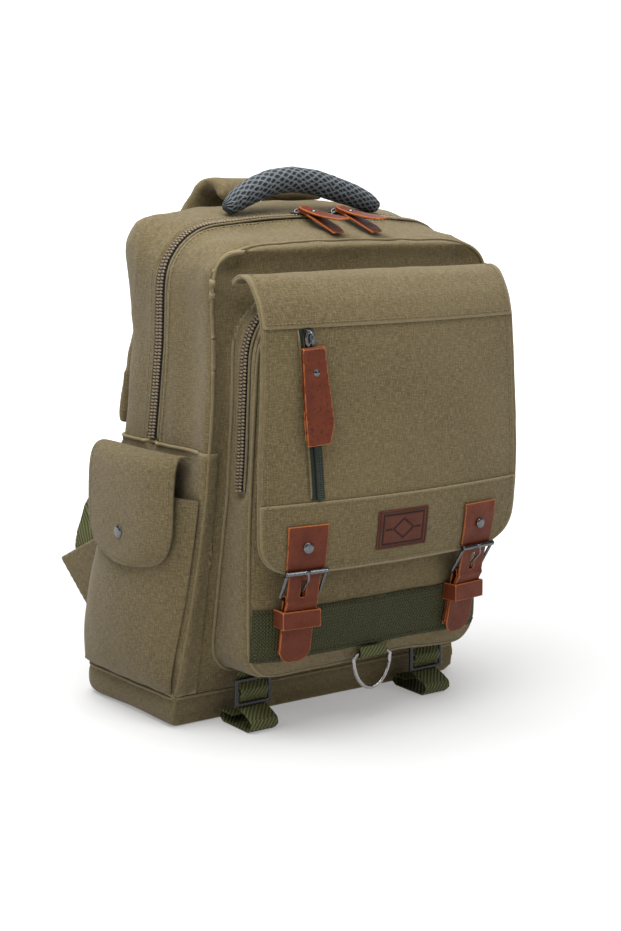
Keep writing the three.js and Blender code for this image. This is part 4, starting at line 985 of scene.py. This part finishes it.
for name, line in seamLines.items():
    rail, up = evened(*railOn(skinTree, line, 0.0006, 0.002))
    tube(f"piping_{name}", rail, piping["radius"], canvas, flat=0.9, up=up)
rail, up = evened(*railOn(skinTree, smoothLine(pocketRoot, 0.002, 6), 0.0008, 0.002))
tube("piping_pocket_root", rail, piping["radius"], canvas, up=up)

yoke = {"top": 0.242, "foot": 0.030, "side": 0.133, "lift": 0.0014, "thickness": 0.0014}
for side, sign in (("left", -1), ("right", 1)):
    panelFromSkin(
        f"yoke_panel_{side}",
        [
            ((0, 0, yoke["top"]), (0, 0, 1)), ((sign * yoke["side"], 0, 0), (1, 0, 0)),
            ((0, 0, yoke["foot"]), (0, 0, 1))
        ],
        lambda p, n,
        sign=sign: yoke["foot"] < p.z < yoke["top"] and p.x * sign > yoke["side"] and bodyTree.find_nearest(p)[3] < 0.008,
        yoke["lift"], yoke["thickness"], canvas, [f"side_yoke_{side}"],
    )
    lipRows = [((sign * 0.15, y, yoke["top"]), (-sign, 0, 0)) for y in np.linspace(-0.070, 0.100, 60)]
    lipLine = [p for p in castOn(skinTree, lipRows) if abs(p[0]) > yoke["side"]]
    rail, up = railOn(skinTree, smoothLine(lipLine, 0.002, 4), yoke["lift"], 0.002)
    # The lip takes the lighter canvas copy: painted highlight along the fold
    tube(f"yoke_lip_{side}", rail, 0.0016, canvasPale, flat=0.8, up=up)
bandLow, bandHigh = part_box("webbing_band")
bandHalf = 0.1185
panelFromSkin(
    "pocket_webbing",
    [
        ((0, 0, bandLow.z), (0, 0, 1)), ((0, 0, bandHigh.z), (0, 0, 1)), ((-bandHalf, 0, 0), (1, 0, 0)),
        ((bandHalf, 0, 0), (1, 0, 0))
    ],
    lambda p,
    n: bandLow.z < p.z < bandHigh.z and abs(p.x) < bandHalf and p.y < -0.085 and n.y < 0.4 and pocketTree.find_nearest(p)[3] < 0.006,
    0.0016, 0.0012, webbing, ["webbing_band"],
)
print("backpack: yokes and band done")

# The front flap: a sheet over the CAD flap's own profile, with its top strip and lower band
flap = {
    "half": 0.1305, "aside": 0.0025, "top": 0.388, "drop": 0.241, "root": -0.0906, "stand": 0.060, "sag": 0.012,
    "corner": 0.030, "wall": 0.0017, "strip": 0.041, "band": 0.181, "layer": 0.0011, "flat": (0.269, 0.279),
    "flatArea": 0.0729, "rows": 150, "columns": 120,
    "creases": [(0.0012, 0.09, 2, (1, 1, 0.8)), (0.0006, 0.035, 4, (1, 1, 1)), (0.00025, 0.012, 6, (1, 1, 1))]
}
flapRows = [
    (.06, .028, .99), (.18, .008, .99), (.4, .0, .99), (.62, .018, .99), (.84, .09, .985), (.95, .17, .985),
    (1.0, .33, 1.0), (1.02, .5, 1.015), (1.03, .65, 1.03), (1.02, .78, 1.03), (.99, .87, 1.025), (.95, .93, 1.02),
    (.91, .975, 1.01), (.89, 1.0, 1.01),
]
profile = np.array(flapRows)
profileAt = np.concatenate(
    [[0], np.cumsum(np.hypot(np.diff(profile[:, 0]) * flap["stand"], np.diff(profile[:, 1]) * flap["drop"]))]
)


def flapPoint(s, across):
    # s: metres along the profile from the flap's root; across: -1 to 1
    out, drop, wide = (float(np.interp(s, profileAt, profile[:, k])) for k in range(3))
    half = flap["half"] * wide
    fromFoot = flap["drop"] * (1 - drop)
    if fromFoot < flap["corner"]:
        half -= flap["corner"] - math.sqrt(max(flap["corner"] ** 2 - (flap["corner"] - fromFoot) ** 2, 0))
    x = half * across
    return Vector(
        (x + flap["aside"], flap["root"] - flap["stand"] * out + flap["sag"] * (x / flap["half"]) ** 2 * out, flap["top"] - flap["drop"] * drop)
    )


def alongAtDrop(drop):
    past = int(np.argmin(profile[:, 1]))
    return float(np.interp(drop / flap["drop"], profile[past:, 1], profileAt[past:]))


def flapGrid(start, end, rows, columns):
    ss = np.linspace(start, end, rows)
    grid = np.array([[flapPoint(s, a) for a in np.linspace(-1, 1, columns)] for s in ss])
    return softened(grid, 12)


def gridMesh(name, grid):
    rows, columns = grid.shape[:2]
    faces = [
        (i * columns + j, (i + 1) * columns + j, (i + 1) * columns + j + 1, i * columns + j + 1)
        for i in range(rows - 1) for j in range(columns - 1)
    ]
    return meshFrom(name, grid.reshape(-1, 3), faces)


flapGridAll = flapGrid(0.0, profileAt[-1], flap["rows"], flap["columns"])
lastRow, lastColumn = flap["rows"] - 1, flap["columns"] - 1
flapMesh = gridMesh("flap_cloth", flapGridAll)
crumple(flapMesh, flap["creases"])
flapRaw = coordinates(flapMesh).reshape(flapGridAll.shape)
flapUp = normalsOf(flapMesh).reshape(flapGridAll.shape)
rowStrip = int(round(alongAtDrop(flap["strip"]) / profileAt[-1] * lastRow))
rowBand = int(round(alongAtDrop(flap["band"]) / profileAt[-1] * lastRow))
flapCloth = walled(newObject("flap_cloth", flapMesh), flap["wall"])
dress(flapCloth, canvas, ["flap_panel"], wearAndShade=1.4)
for name, first, last, node in (
    ("flap_strip", 0, rowStrip + 1, "flap_top_strip"), ("flap_band", rowBand, flap["rows"], "flap_lower_band")
):
    layer = flapRaw[first:last] + flapUp[first:last] * (flap["layer"] + 0.0004)
    dress(walled(newObject(name, gridMesh(name, layer)), flap["layer"]), canvas, [node], wearAndShade=1.4)
hemFrom = 8
hem, hemUp = (
    np.concatenate([g[hemFrom:lastRow, 0], g[lastRow, 0:lastColumn], g[lastRow:hemFrom - 1:-1, lastColumn]])
    for g in (flapRaw, flapUp)
)
tube("flap_hem", (hem - hemUp * flap["wall"] * 0.3)[::2], 0.0016, canvas, flat=0.95, up=hemUp[::2])
print("backpack: flap done")

# Side pockets and their flaps, from the CAD sheets
sidePocket = {
    "creases": [(0.0022, 0.07, 2, (1, 1, 0.7)), (0.0012, 0.03, 4, (1, 1, 0.7))], "crown": 0.006, "tuck": 0.007,
    "rimFrom": 0.72, "footFrom": 0.80, "flapCreases": [(0.0009, 0.05, 2, (1, 1, 1))], "flapFlat": (0.122, 0.120),
    "flapFlatArea": 0.0141
}
shoulderPad = {
    "voxel": 0.0028, "passes": 12, "keep": 0.2, "airVoxel": 0.005, "pressure": 4.0, "cap": 0.003, "fill": 0.6,
    "creases": [(0.0016, 0.05, 2, (1, 1, 1)), (0.0008, 0.025, 4, (1, 1, 1))]
}


def paddedPiece(name, node, look, finish):
    piece = remeshed(name, [node], look["voxel"], look["passes"], look["keep"])
    piece = puffed(piece, look["airVoxel"], look["pressure"], look["cap"])
    crumple(piece.data, look["creases"])
    dress(piece, finish, [node])
    return piece


for side, sign in (("left", -1), ("right", 1)):
    piece = rounded(f"pocket_side_{side}", f"side_pocket_{side}", 4)
    crumple(piece.data, sidePocket["creases"])
    co = coordinates(piece.data)
    low, high = co.min(0), co.max(0)
    share = (co - (low + high) / 2) / ((high - low) / 2)
    outward = sign * share[:, 0] * 0.5 + 0.5
    sideRim = np.clip((np.abs(share[:, 1]) - sidePocket["rimFrom"]) / (1 - sidePocket["rimFrom"]), 0, 1)
    footRim = np.clip((-share[:, 2] - sidePocket["footFrom"]) / (1 - sidePocket["footFrom"]), 0, 1)
    rim = np.maximum(sideRim, footRim) ** 2
    crown = sidePocket["crown"] * np.clip(1 - share[:, 1] ** 2, 0, 1) * np.clip(1 - share[:, 2] ** 4, 0, 1)
    co[:, 0] += sign * outward * (crown - sidePocket["tuck"] * rim)
    setCoordinates(piece.data, co)
    dress(piece, canvas, [f"side_pocket_{side}"])
    piece = rounded(f"flap_side_{side}", f"side_flap_{side}", 3)
    crumple(piece.data, sidePocket["flapCreases"])
    dress(piece, canvas, [f"side_flap_{side}"], wearAndShade=1.2)
    piece = remeshed(f"wing_{side}", [f"strap_wing_{side}"], 0.0011, 5)
    dress(piece, canvas, [f"strap_wing_{side}"])
    paddedPiece(f"shoulder_pad_{side}", f"shoulder_strap_{side}", shoulderPad, canvas)
print("backpack: side pockets and straps done")

# Webbing
for side in ("left", "right"):
    for node, voxel in (("harness_web", 0.0009), ("lash_strap", 0.0008)):
        piece = remeshed(f"{node}_cloth_{side}", [f"{node}_{side}"], voxel, 3)
        dress(piece, strapWebbing, [f"{node}_{side}"])
dress(remeshed("ring_tab", ["ring_loop"], 0.0007, 2), strapWebbing, ["ring_loop"])

# Leather
for side in ("left", "right"):
    for node in ("main_pull", "closure_strap", "buckle_anchor", "keeper"):
        piece = remeshed(f"{node}_hide_{side}", [f"{node}_{side}"], 0.0006, 2)
        dress(piece, leather, [f"{node}_{side}"], wearAndShade=2.0)
dress(remeshed("flap_pull_hide", ["flap_pull"], 0.0006, 2), pebbled, ["flap_pull"], wearAndShade=2.0)
patchPiece = remeshed("patch_hide", ["leather_patch"], 0.0004, 3)
patchLook = {"frame": 0.80, "line": 0.0008, "deep": 0.0006, "lozenge": 0.5}


def pressPatch(mesh):
    # A pressed frame, a lozenge and two short bars on the patch's face
    co, normals = coordinates(mesh), normalsOf(mesh)
    low, high = co.min(0), co.max(0)
    middle, half = (low + high) / 2, (high - low) / 2
    u, v = np.abs(co[:, 0] - middle[0]), np.abs(co[:, 2] - middle[2])
    frameU, frameV = half[0] * patchLook["frame"], half[2] * patchLook["frame"] * 0.94
    toFrame = np.abs(np.maximum(u - frameU, v - frameV))
    size = half[2] * patchLook["lozenge"]
    toLozenge = np.abs(u * 0.8 + v - size) / 1.28
    toBar = np.hypot(np.maximum(np.abs(u - half[0] * 0.58) - half[0] * 0.1, 0), v)
    near = np.minimum(np.minimum(toFrame, toLozenge), toBar)
    press = np.clip(1.5 - near / patchLook["line"], 0, 1) * (normals[:, 1] < -0.4)
    setCoordinates(mesh, co - normals * (press * patchLook["deep"])[:, None])
    # The press mask is kept for the material, which paints shade into the pressed lines
    pressed = mesh.attributes.new("pressed", "FLOAT", "POINT")
    pressed.data.foreach_set("value", press.astype(np.float32))


pressPatch(patchPiece.data)
dress(patchPiece, plainLeather, ["leather_patch"])

# Metal, plastic and the handle
for side in ("left", "right"):
    for node, voxel in (("main_slider", 0.00045), ("tab_rivet", 0.0004), ("buckle", 0.0005), ("snap", 0.0004)):
        dress(remeshed(f"{node}_metal_{side}", [f"{node}_{side}"], voxel, 4), gunmetal, [f"{node}_{side}"])
    dress(remeshed(f"tri_glide_{side}", [f"glide_{side}"], 0.0006, 4), blackPlastic, [f"glide_{side}"])
dress(remeshed("flap_slider_metal", ["flap_slider"], 0.00045, 4), gunmetal, ["flap_slider"])
dress(remeshed("ring_metal", ["d_ring"], 0.0005, 4), nickel, ["d_ring"], body="ring")

rivetLook = {"radius": 0.0027, "rise": 0.0012, "share": 0.27}


def rivetDome(name, at, up):
    # A low dome with a rim, set on a surface
    up = Vector(up).normalized()
    spin = up.to_track_quat("Z", "Y")
    outline = [(0.0, 1.0), (0.35, 0.93), (0.62, 0.7), (0.8, 0.36), (0.86, 0.3), (1.0, 0.28), (1.04, 0.0), (0.9, -0.5)]
    points, faces, around = [Vector(at) + spin @ Vector((0, 0, rivetLook["rise"]))], [], 20
    for radius, height in outline[1:]:
        for k in range(around):
            a = 2 * math.pi * k / around
            points.append(
                Vector(at)
                + spin @ Vector(
                    (radius * rivetLook["radius"] * math.cos(a), radius * rivetLook["radius"] * math.sin(a), height * rivetLook["rise"])
                )
            )
    faces += [(0, 1 + k, 1 + (k + 1) % around) for k in range(around)]
    for ring in range(len(outline) - 2):
        for k in range(around):
            a, b = 1 + ring * around + k, 1 + ring * around + (k + 1) % around
            faces.append((a, a + around, b + around, b))
    last = 1 + (len(outline) - 2) * around
    faces.append(tuple(last + k for k in reversed(range(around))))
    dress(newObject(name, meshFrom(name, points, faces)), gunmetal, [])


def pullRivet(name, pull, slider, way):
    co = coordinates(bpy.data.objects[pull].data)
    low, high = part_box(slider)
    start = (Vector(low) + Vector(high)) / 2
    far = np.linalg.norm(co - np.array(start), axis=1)
    spread = far.min() + (far.max() - far.min()) * rivetLook["share"]
    ring = co[np.abs(far - spread) < 0.0015].mean(0)
    at, up, _, _ = treeOf(bpy.data.objects[pull].data).ray_cast(Vector(ring) - Vector(way) * 0.02, Vector(way))
    rivetDome(name, at, up)


pullRivet("pull_rivet_left", "main_pull_hide_left", "main_slider_left", (0, 0.3, -0.95))
pullRivet("pull_rivet_right", "main_pull_hide_right", "main_slider_right", (0, 0.3, -0.95))
pullRivet("pull_rivet_flap", "flap_pull_hide", "flap_slider", (0, 1, 0))

handleLook = {
    "voxel": 0.0018, "passes": 10, "keep": 0.2, "airVoxel": 0.004, "pressure": 4.0, "cap": 0.0015, "fill": 0.8,
    "creases": [], "slices": 39, "radius": 0.0115
}
handle = paddedPiece("grab_handle", "haul_handle", handleLook, spacer)


def wrapHandle():
    # The spacer mesh follows the handle: length along it and distance round it
    mesh = handle.data
    co = coordinates(mesh)
    slices = handleLook["slices"]
    bins = np.linspace(co[:, 0].min(), co[:, 0].max(), slices + 1)
    which = np.clip(np.digitize(co[:, 0], bins) - 1, 0, slices - 1)
    middles = np.array([co[which == i].mean(0) for i in range(slices) if (which == i).any()])
    along = np.interp(co[:, 0], middles[:, 0], lengthsAlong(middles))
    cy, cz = np.interp(co[:, 0], middles[:, 0], middles[:, 1]), np.interp(co[:, 0], middles[:, 0], middles[:, 2])
    angle = np.arctan2(co[:, 2] - cz, co[:, 1] - cy)
    loops = grab(mesh.loops, "vertex_index", 1, np.int32)
    turned = angle[loops].reshape(-1, 4)  # every face has four corners
    turned -= 2 * math.pi * np.round((turned - turned[:, :1]) / (2 * math.pi))
    around = turned.ravel() * handleLook["radius"]
    mesh.uv_layers["weave"].data.foreach_set("uv", np.stack([along[loops], around], 1).astype(np.float32).ravel())


wrapHandle()
print("backpack: leather, metal and handle done")

# Zips: the tapes keep their CAD solids; the teeth are beads in two rows
for node, tape in (("main_zip", bronzeTape), ("pocket_zip", bronzeTape), ("flap_zip", greenTape)):
    cad[node].data.materials.clear()
    cad[node].data.materials.append(tape)
teeth = {"pitch": 0.0029, "reach": 0.0025, "size": (0.0023, 0.0050, 0.0026), "lift": 0.0014}


def acrossOf(line, up):
    along = unit(np.gradient(line, axis=0))
    return along, np.cross(along, up)


def toothRails(line, up, reach, lift):
    along, aside = acrossOf(line, up)
    half = along * teeth["pitch"] / 4
    return [(line + aside * reach + up * lift + half, up), (line - aside * reach + up * lift - half, up)]


for name, line, up in (("main_zip_teeth", mainLine, mainUp), ("pocket_zip_teeth", pocketLine, pocketUp)):
    rails = toothRails(line, up, teeth["reach"], teeth["lift"])
    repeatAlong(name, rails, teeth["pitch"], teeth["size"], bronzeTeeth)
flapZip = np.array(
    [(-87.9, -142.3, 346), (-86.3, -144.4, 323), (-84.6, -145.6, 300), (-83, -146.4, 277), (-81.4, -147, 254), (-79.7, -147.5, 231), (-78.1, -147.4, 208)]
) / 1000
flapZipLine = smoothLine(flapZip, 0.002)
flapZipUp = np.tile((0, -1.0, 0), (len(flapZipLine), 1))
repeatAlong(
    "flap_zip_teeth", toothRails(flapZipLine, flapZipUp, 0.0012, 0.0012), 0.0018, (0.0013, 0.0024, 0.0014),
    greenTeeth
)


# Rolled edges beside the zips
def lips(name, line, up, reach, radius, lift):
    aside = acrossOf(line, up)[1]
    for side, sign in (("a", -1), ("b", 1)):
        tube(
            f"{name}_{side}", (line + aside * reach * sign + up * lift)[::2], radius, canvas, flat=0.6,
            up=up[::2]
        )


lips("main_zip_edge", mainLine, mainUp, 0.0088, 0.0016, 0.0003)
lips("pocket_zip_edge", pocketLine, pocketUp, 0.0074, 0.0015, 0.0003)
lips("flap_zip_edge", flapZipLine, flapZipUp, 0.0088, 0.0011, 0.0004)
print("backpack: zips done")

# Stitching
stitch = {"spacing": 0.0038, "size": (0.0028, 0.0010, 0.0009)}


def flapRail(a0, a1, s0, s1, lift=0.0003):
    pts, up = [], []
    for t in np.linspace(0, 1, 60):
        i = (s0 + (s1 - s0) * t) / profileAt[-1] * lastRow
        j = ((a0 + (a1 - a0) * t) + 1) / 2 * lastColumn
        i, j = int(round(min(max(i, 0), lastRow))), int(round(min(max(j, 0), lastColumn)))
        pts.append(flapRaw[i, j] + flapUp[i, j] * lift)
        up.append(flapUp[i, j])
    return pts, up


full = profileAt[-1]
stripEnd, bandStart = alongAtDrop(flap["strip"]), alongAtDrop(flap["band"])
layerLift = flap["layer"] + 0.0007
rails = [
    flapRail(-0.955, -0.955, stripEnd, bandStart), flapRail(0.955, 0.955, stripEnd, bandStart),
    flapRail(-0.97, 0.97, stripEnd - 0.003, stripEnd - 0.003, layerLift),
    flapRail(-0.97, 0.97, bandStart + 0.003, bandStart + 0.003, layerLift),
    flapRail(-0.955, -0.955, bandStart, full - 0.004, layerLift),
    flapRail(0.955, 0.955, bandStart, full - 0.004, layerLift),
    flapRail(-0.95, 0.95, full - 0.004, full - 0.004, layerLift), flapRail(-0.955, -0.955, 0.02, stripEnd, layerLift),
    flapRail(0.955, 0.955, 0.02, stripEnd, layerLift),
]
repeatAlong("flap_stitches", rails, stitch["spacing"], stitch["size"], khakiThread)


def outline(low, high, inset, corner, plane, top=True):
    # A rounded rectangle in a box's x-z or y-z face, closed unless its top is left open
    first = 0 if plane == "xz" else 1
    x0, x1, z0, z1 = low[first] + inset, high[first] - inset, low[2] + inset, high[2] - inset
    points = [(x0, z1)]
    for cx, cz, start in ((x0 + corner, z0 + corner, math.pi), (x1 - corner, z0 + corner, 1.5 * math.pi)):
        points += [
            (cx + corner * math.cos(start + t), cz + corner * math.sin(start + t))
            for t in np.linspace(0, math.pi / 2, 7)
        ]
    points += [(x1, z1)] + ([(x0, z1)] if top else [])
    other = (low[1 - first] + high[1 - first]) / 2
    return [(a, other, b) if first == 0 else (other, a, b) for a, b in points]


def seamStitches(name, piece, lines, way, finish, step=None):
    tree = treeOf(bpy.data.objects[piece].data)
    found = [railSeen(tree, line, way, 0.0002) for line in lines]
    repeatAlong(name, [r for r in found if len(r[0]) > 2], step or stitch["spacing"], stitch["size"], finish)


for side, sign in (("left", -1), ("right", 1)):
    low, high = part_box(f"buckle_anchor_{side}")
    seamStitches(
        f"anchor_stitches_{side}", f"buckle_anchor_hide_{side}", [outline(low, high, 0.0028, 0.002, "xz")], (0, 1, 0),
        darkThread, 0.0034
    )
    low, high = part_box(f"side_flap_{side}")
    seamStitches(
        f"side_flap_stitches_{side}", f"flap_side_{side}", [outline(low, high, 0.005, 0.026, "yz", False)],
        (-sign, 0, 0), khakiThread
    )
    low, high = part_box(f"side_pocket_{side}")
    mouth = [(0, low.y + 0.004, high.z - 0.006), (0, high.y - 0.004, high.z - 0.006)]
    seamStitches(f"side_pocket_stitches_{side}", f"pocket_side_{side}", [mouth], (-sign, 0, 0), khakiThread)
    ridge = [(sign * 0.15, -0.066, yoke["top"] - 0.006), (sign * 0.15, 0.10, yoke["top"] - 0.006)]
    seamStitches(f"yoke_stitches_{side}", f"yoke_panel_{side}", [ridge], (-sign, 0, 0), khakiThread)
low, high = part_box("leather_patch")
seamStitches(
    "patch_stitches", "patch_hide", [outline(low, high, 0.0019, 0.001, "xz")], (0, 1, 0), darkThread, 0.003
)
edge = [[(-bandHalf, -0.12, z), (bandHalf, -0.12, z)] for z in (bandLow.z + 0.003, bandHigh.z - 0.003)]
seamStitches("webbing_stitches", "pocket_webbing", edge, (0, 1, 0), darkThread)
baseLine = seamLines["base_edge"] + np.array((0, 0, 0.0045))
pocketEdge, pocketMiddle = seamLines["pocket_edge"], np.array((0, 0, 0.2))
pocketInner = pocketEdge + np.array((0, -0.002, 0)) + (pocketMiddle - pocketEdge) * (0.035, 0, 0.035)
beside = [railOn(skinTree, line, 0.0002) for line in (baseLine, pocketInner)]
for line, up in ((mainLine, mainUp), (pocketLine, pocketUp)):
    aside = acrossOf(line, up)[1]
    beside += [evened(*railOn(skinTree, line + aside * reach, 0.0003)) for reach in (-0.0135, 0.0135)]
repeatAlong("body_stitches", beside, stitch["spacing"], stitch["size"], khakiThread)
print("backpack: stitching done")

# Studio: a pale sweep that is bright far off, a large soft light from above, weak fill
studio = {
    "floor": (0.5, 0.5, 0.5), "glowNear": 0.28, "glowFar": 1.0, "near": 0.42, "far": 1.3, "world": 0.17,
    "lights": [
        ("overhead", (-0.35, -0.1, 1.9), (0, 0, 0.25), 2.1, 66),
        ("frontLeft", (-2.0, -1.2, 1.5), (0, 0, 0.3), 1.1, 8), ("frontRight", (0.8, -2.1, 1.4), (0, 0, 0.3), 1.0, 12)
    ]
}


def sweepMesh():
    points, faces = [], []
    ahead = Vector((-towards.x, -towards.y, 0)).normalized()
    aside = Vector((-ahead.y, ahead.x, 0))
    profile = [(-3.0, 0.0), (2.6, 0.0)] + [
        (2.6 + 1.2 * math.sin(a), 1.2 - 1.2 * math.cos(a)) for a in np.linspace(0.15, math.pi / 2, 12)
    ] + [(3.8, 4.5)]
    for reach, z in profile:
        for x in (-5.0, 5.0):
            p = ahead * reach + aside * x
            points.append((p.x, p.y, z))
    for i in range(len(profile) - 1):
        faces.append((2 * i, 2 * i + 1, 2 * i + 3, 2 * i + 2))
    return meshFrom("floor", points, faces)


floorMaterial, net, shader = newMaterial("paleFloor")
shader.inputs["Base Color"].default_value = (*studio["floor"], 1)
shader.inputs["Roughness"].default_value = 0.9
shader.inputs["Specular IOR Level"].default_value = 0.1
shader.inputs["Emission Color"].default_value = (1, 1, 1, 1)
length = net.nodes.new("ShaderNodeVectorMath")
length.operation = "LENGTH"
net.links.new(placeOf(net), length.inputs[0])
net.links.new(
    rangeOf(net, length.outputs["Value"], studio["near"], studio["far"], studio["glowNear"], studio["glowFar"]),
    shader.inputs["Emission Strength"]
)
floor = newObject("floor", sweepMesh(), floorMaterial)
floor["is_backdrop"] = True


def areaLight(name, place, target, size, power):
    data = bpy.data.lights.new(name, "AREA")
    data.shape = "DISK"
    data.size = size
    data.energy = power
    lamp = bpy.data.objects.new(name, data)
    bpy.context.scene.collection.objects.link(lamp)
    lamp.location = place
    lamp.rotation_mode = "QUATERNION"
    lamp.rotation_quaternion = (Vector(target) - Vector(place)).to_track_quat("-Z", "Y")


for light in studio["lights"]:
    areaLight(*light)
world = bpy.data.worlds.new("studio")
bpy.context.scene.world = world
world.use_nodes = True
world.node_tree.nodes["Background"].inputs[0].default_value = (1, 1, 1, 1)
world.node_tree.nodes["Background"].inputs[1].default_value = studio["world"]
bpy.context.scene.view_settings.view_transform = "Standard"

for guide in ("canvas_skin", "bodyGuide", "pocketGuide"):
    bpy.data.objects.remove(bpy.data.objects[guide])
low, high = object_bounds()
print("backpack: scene finished")
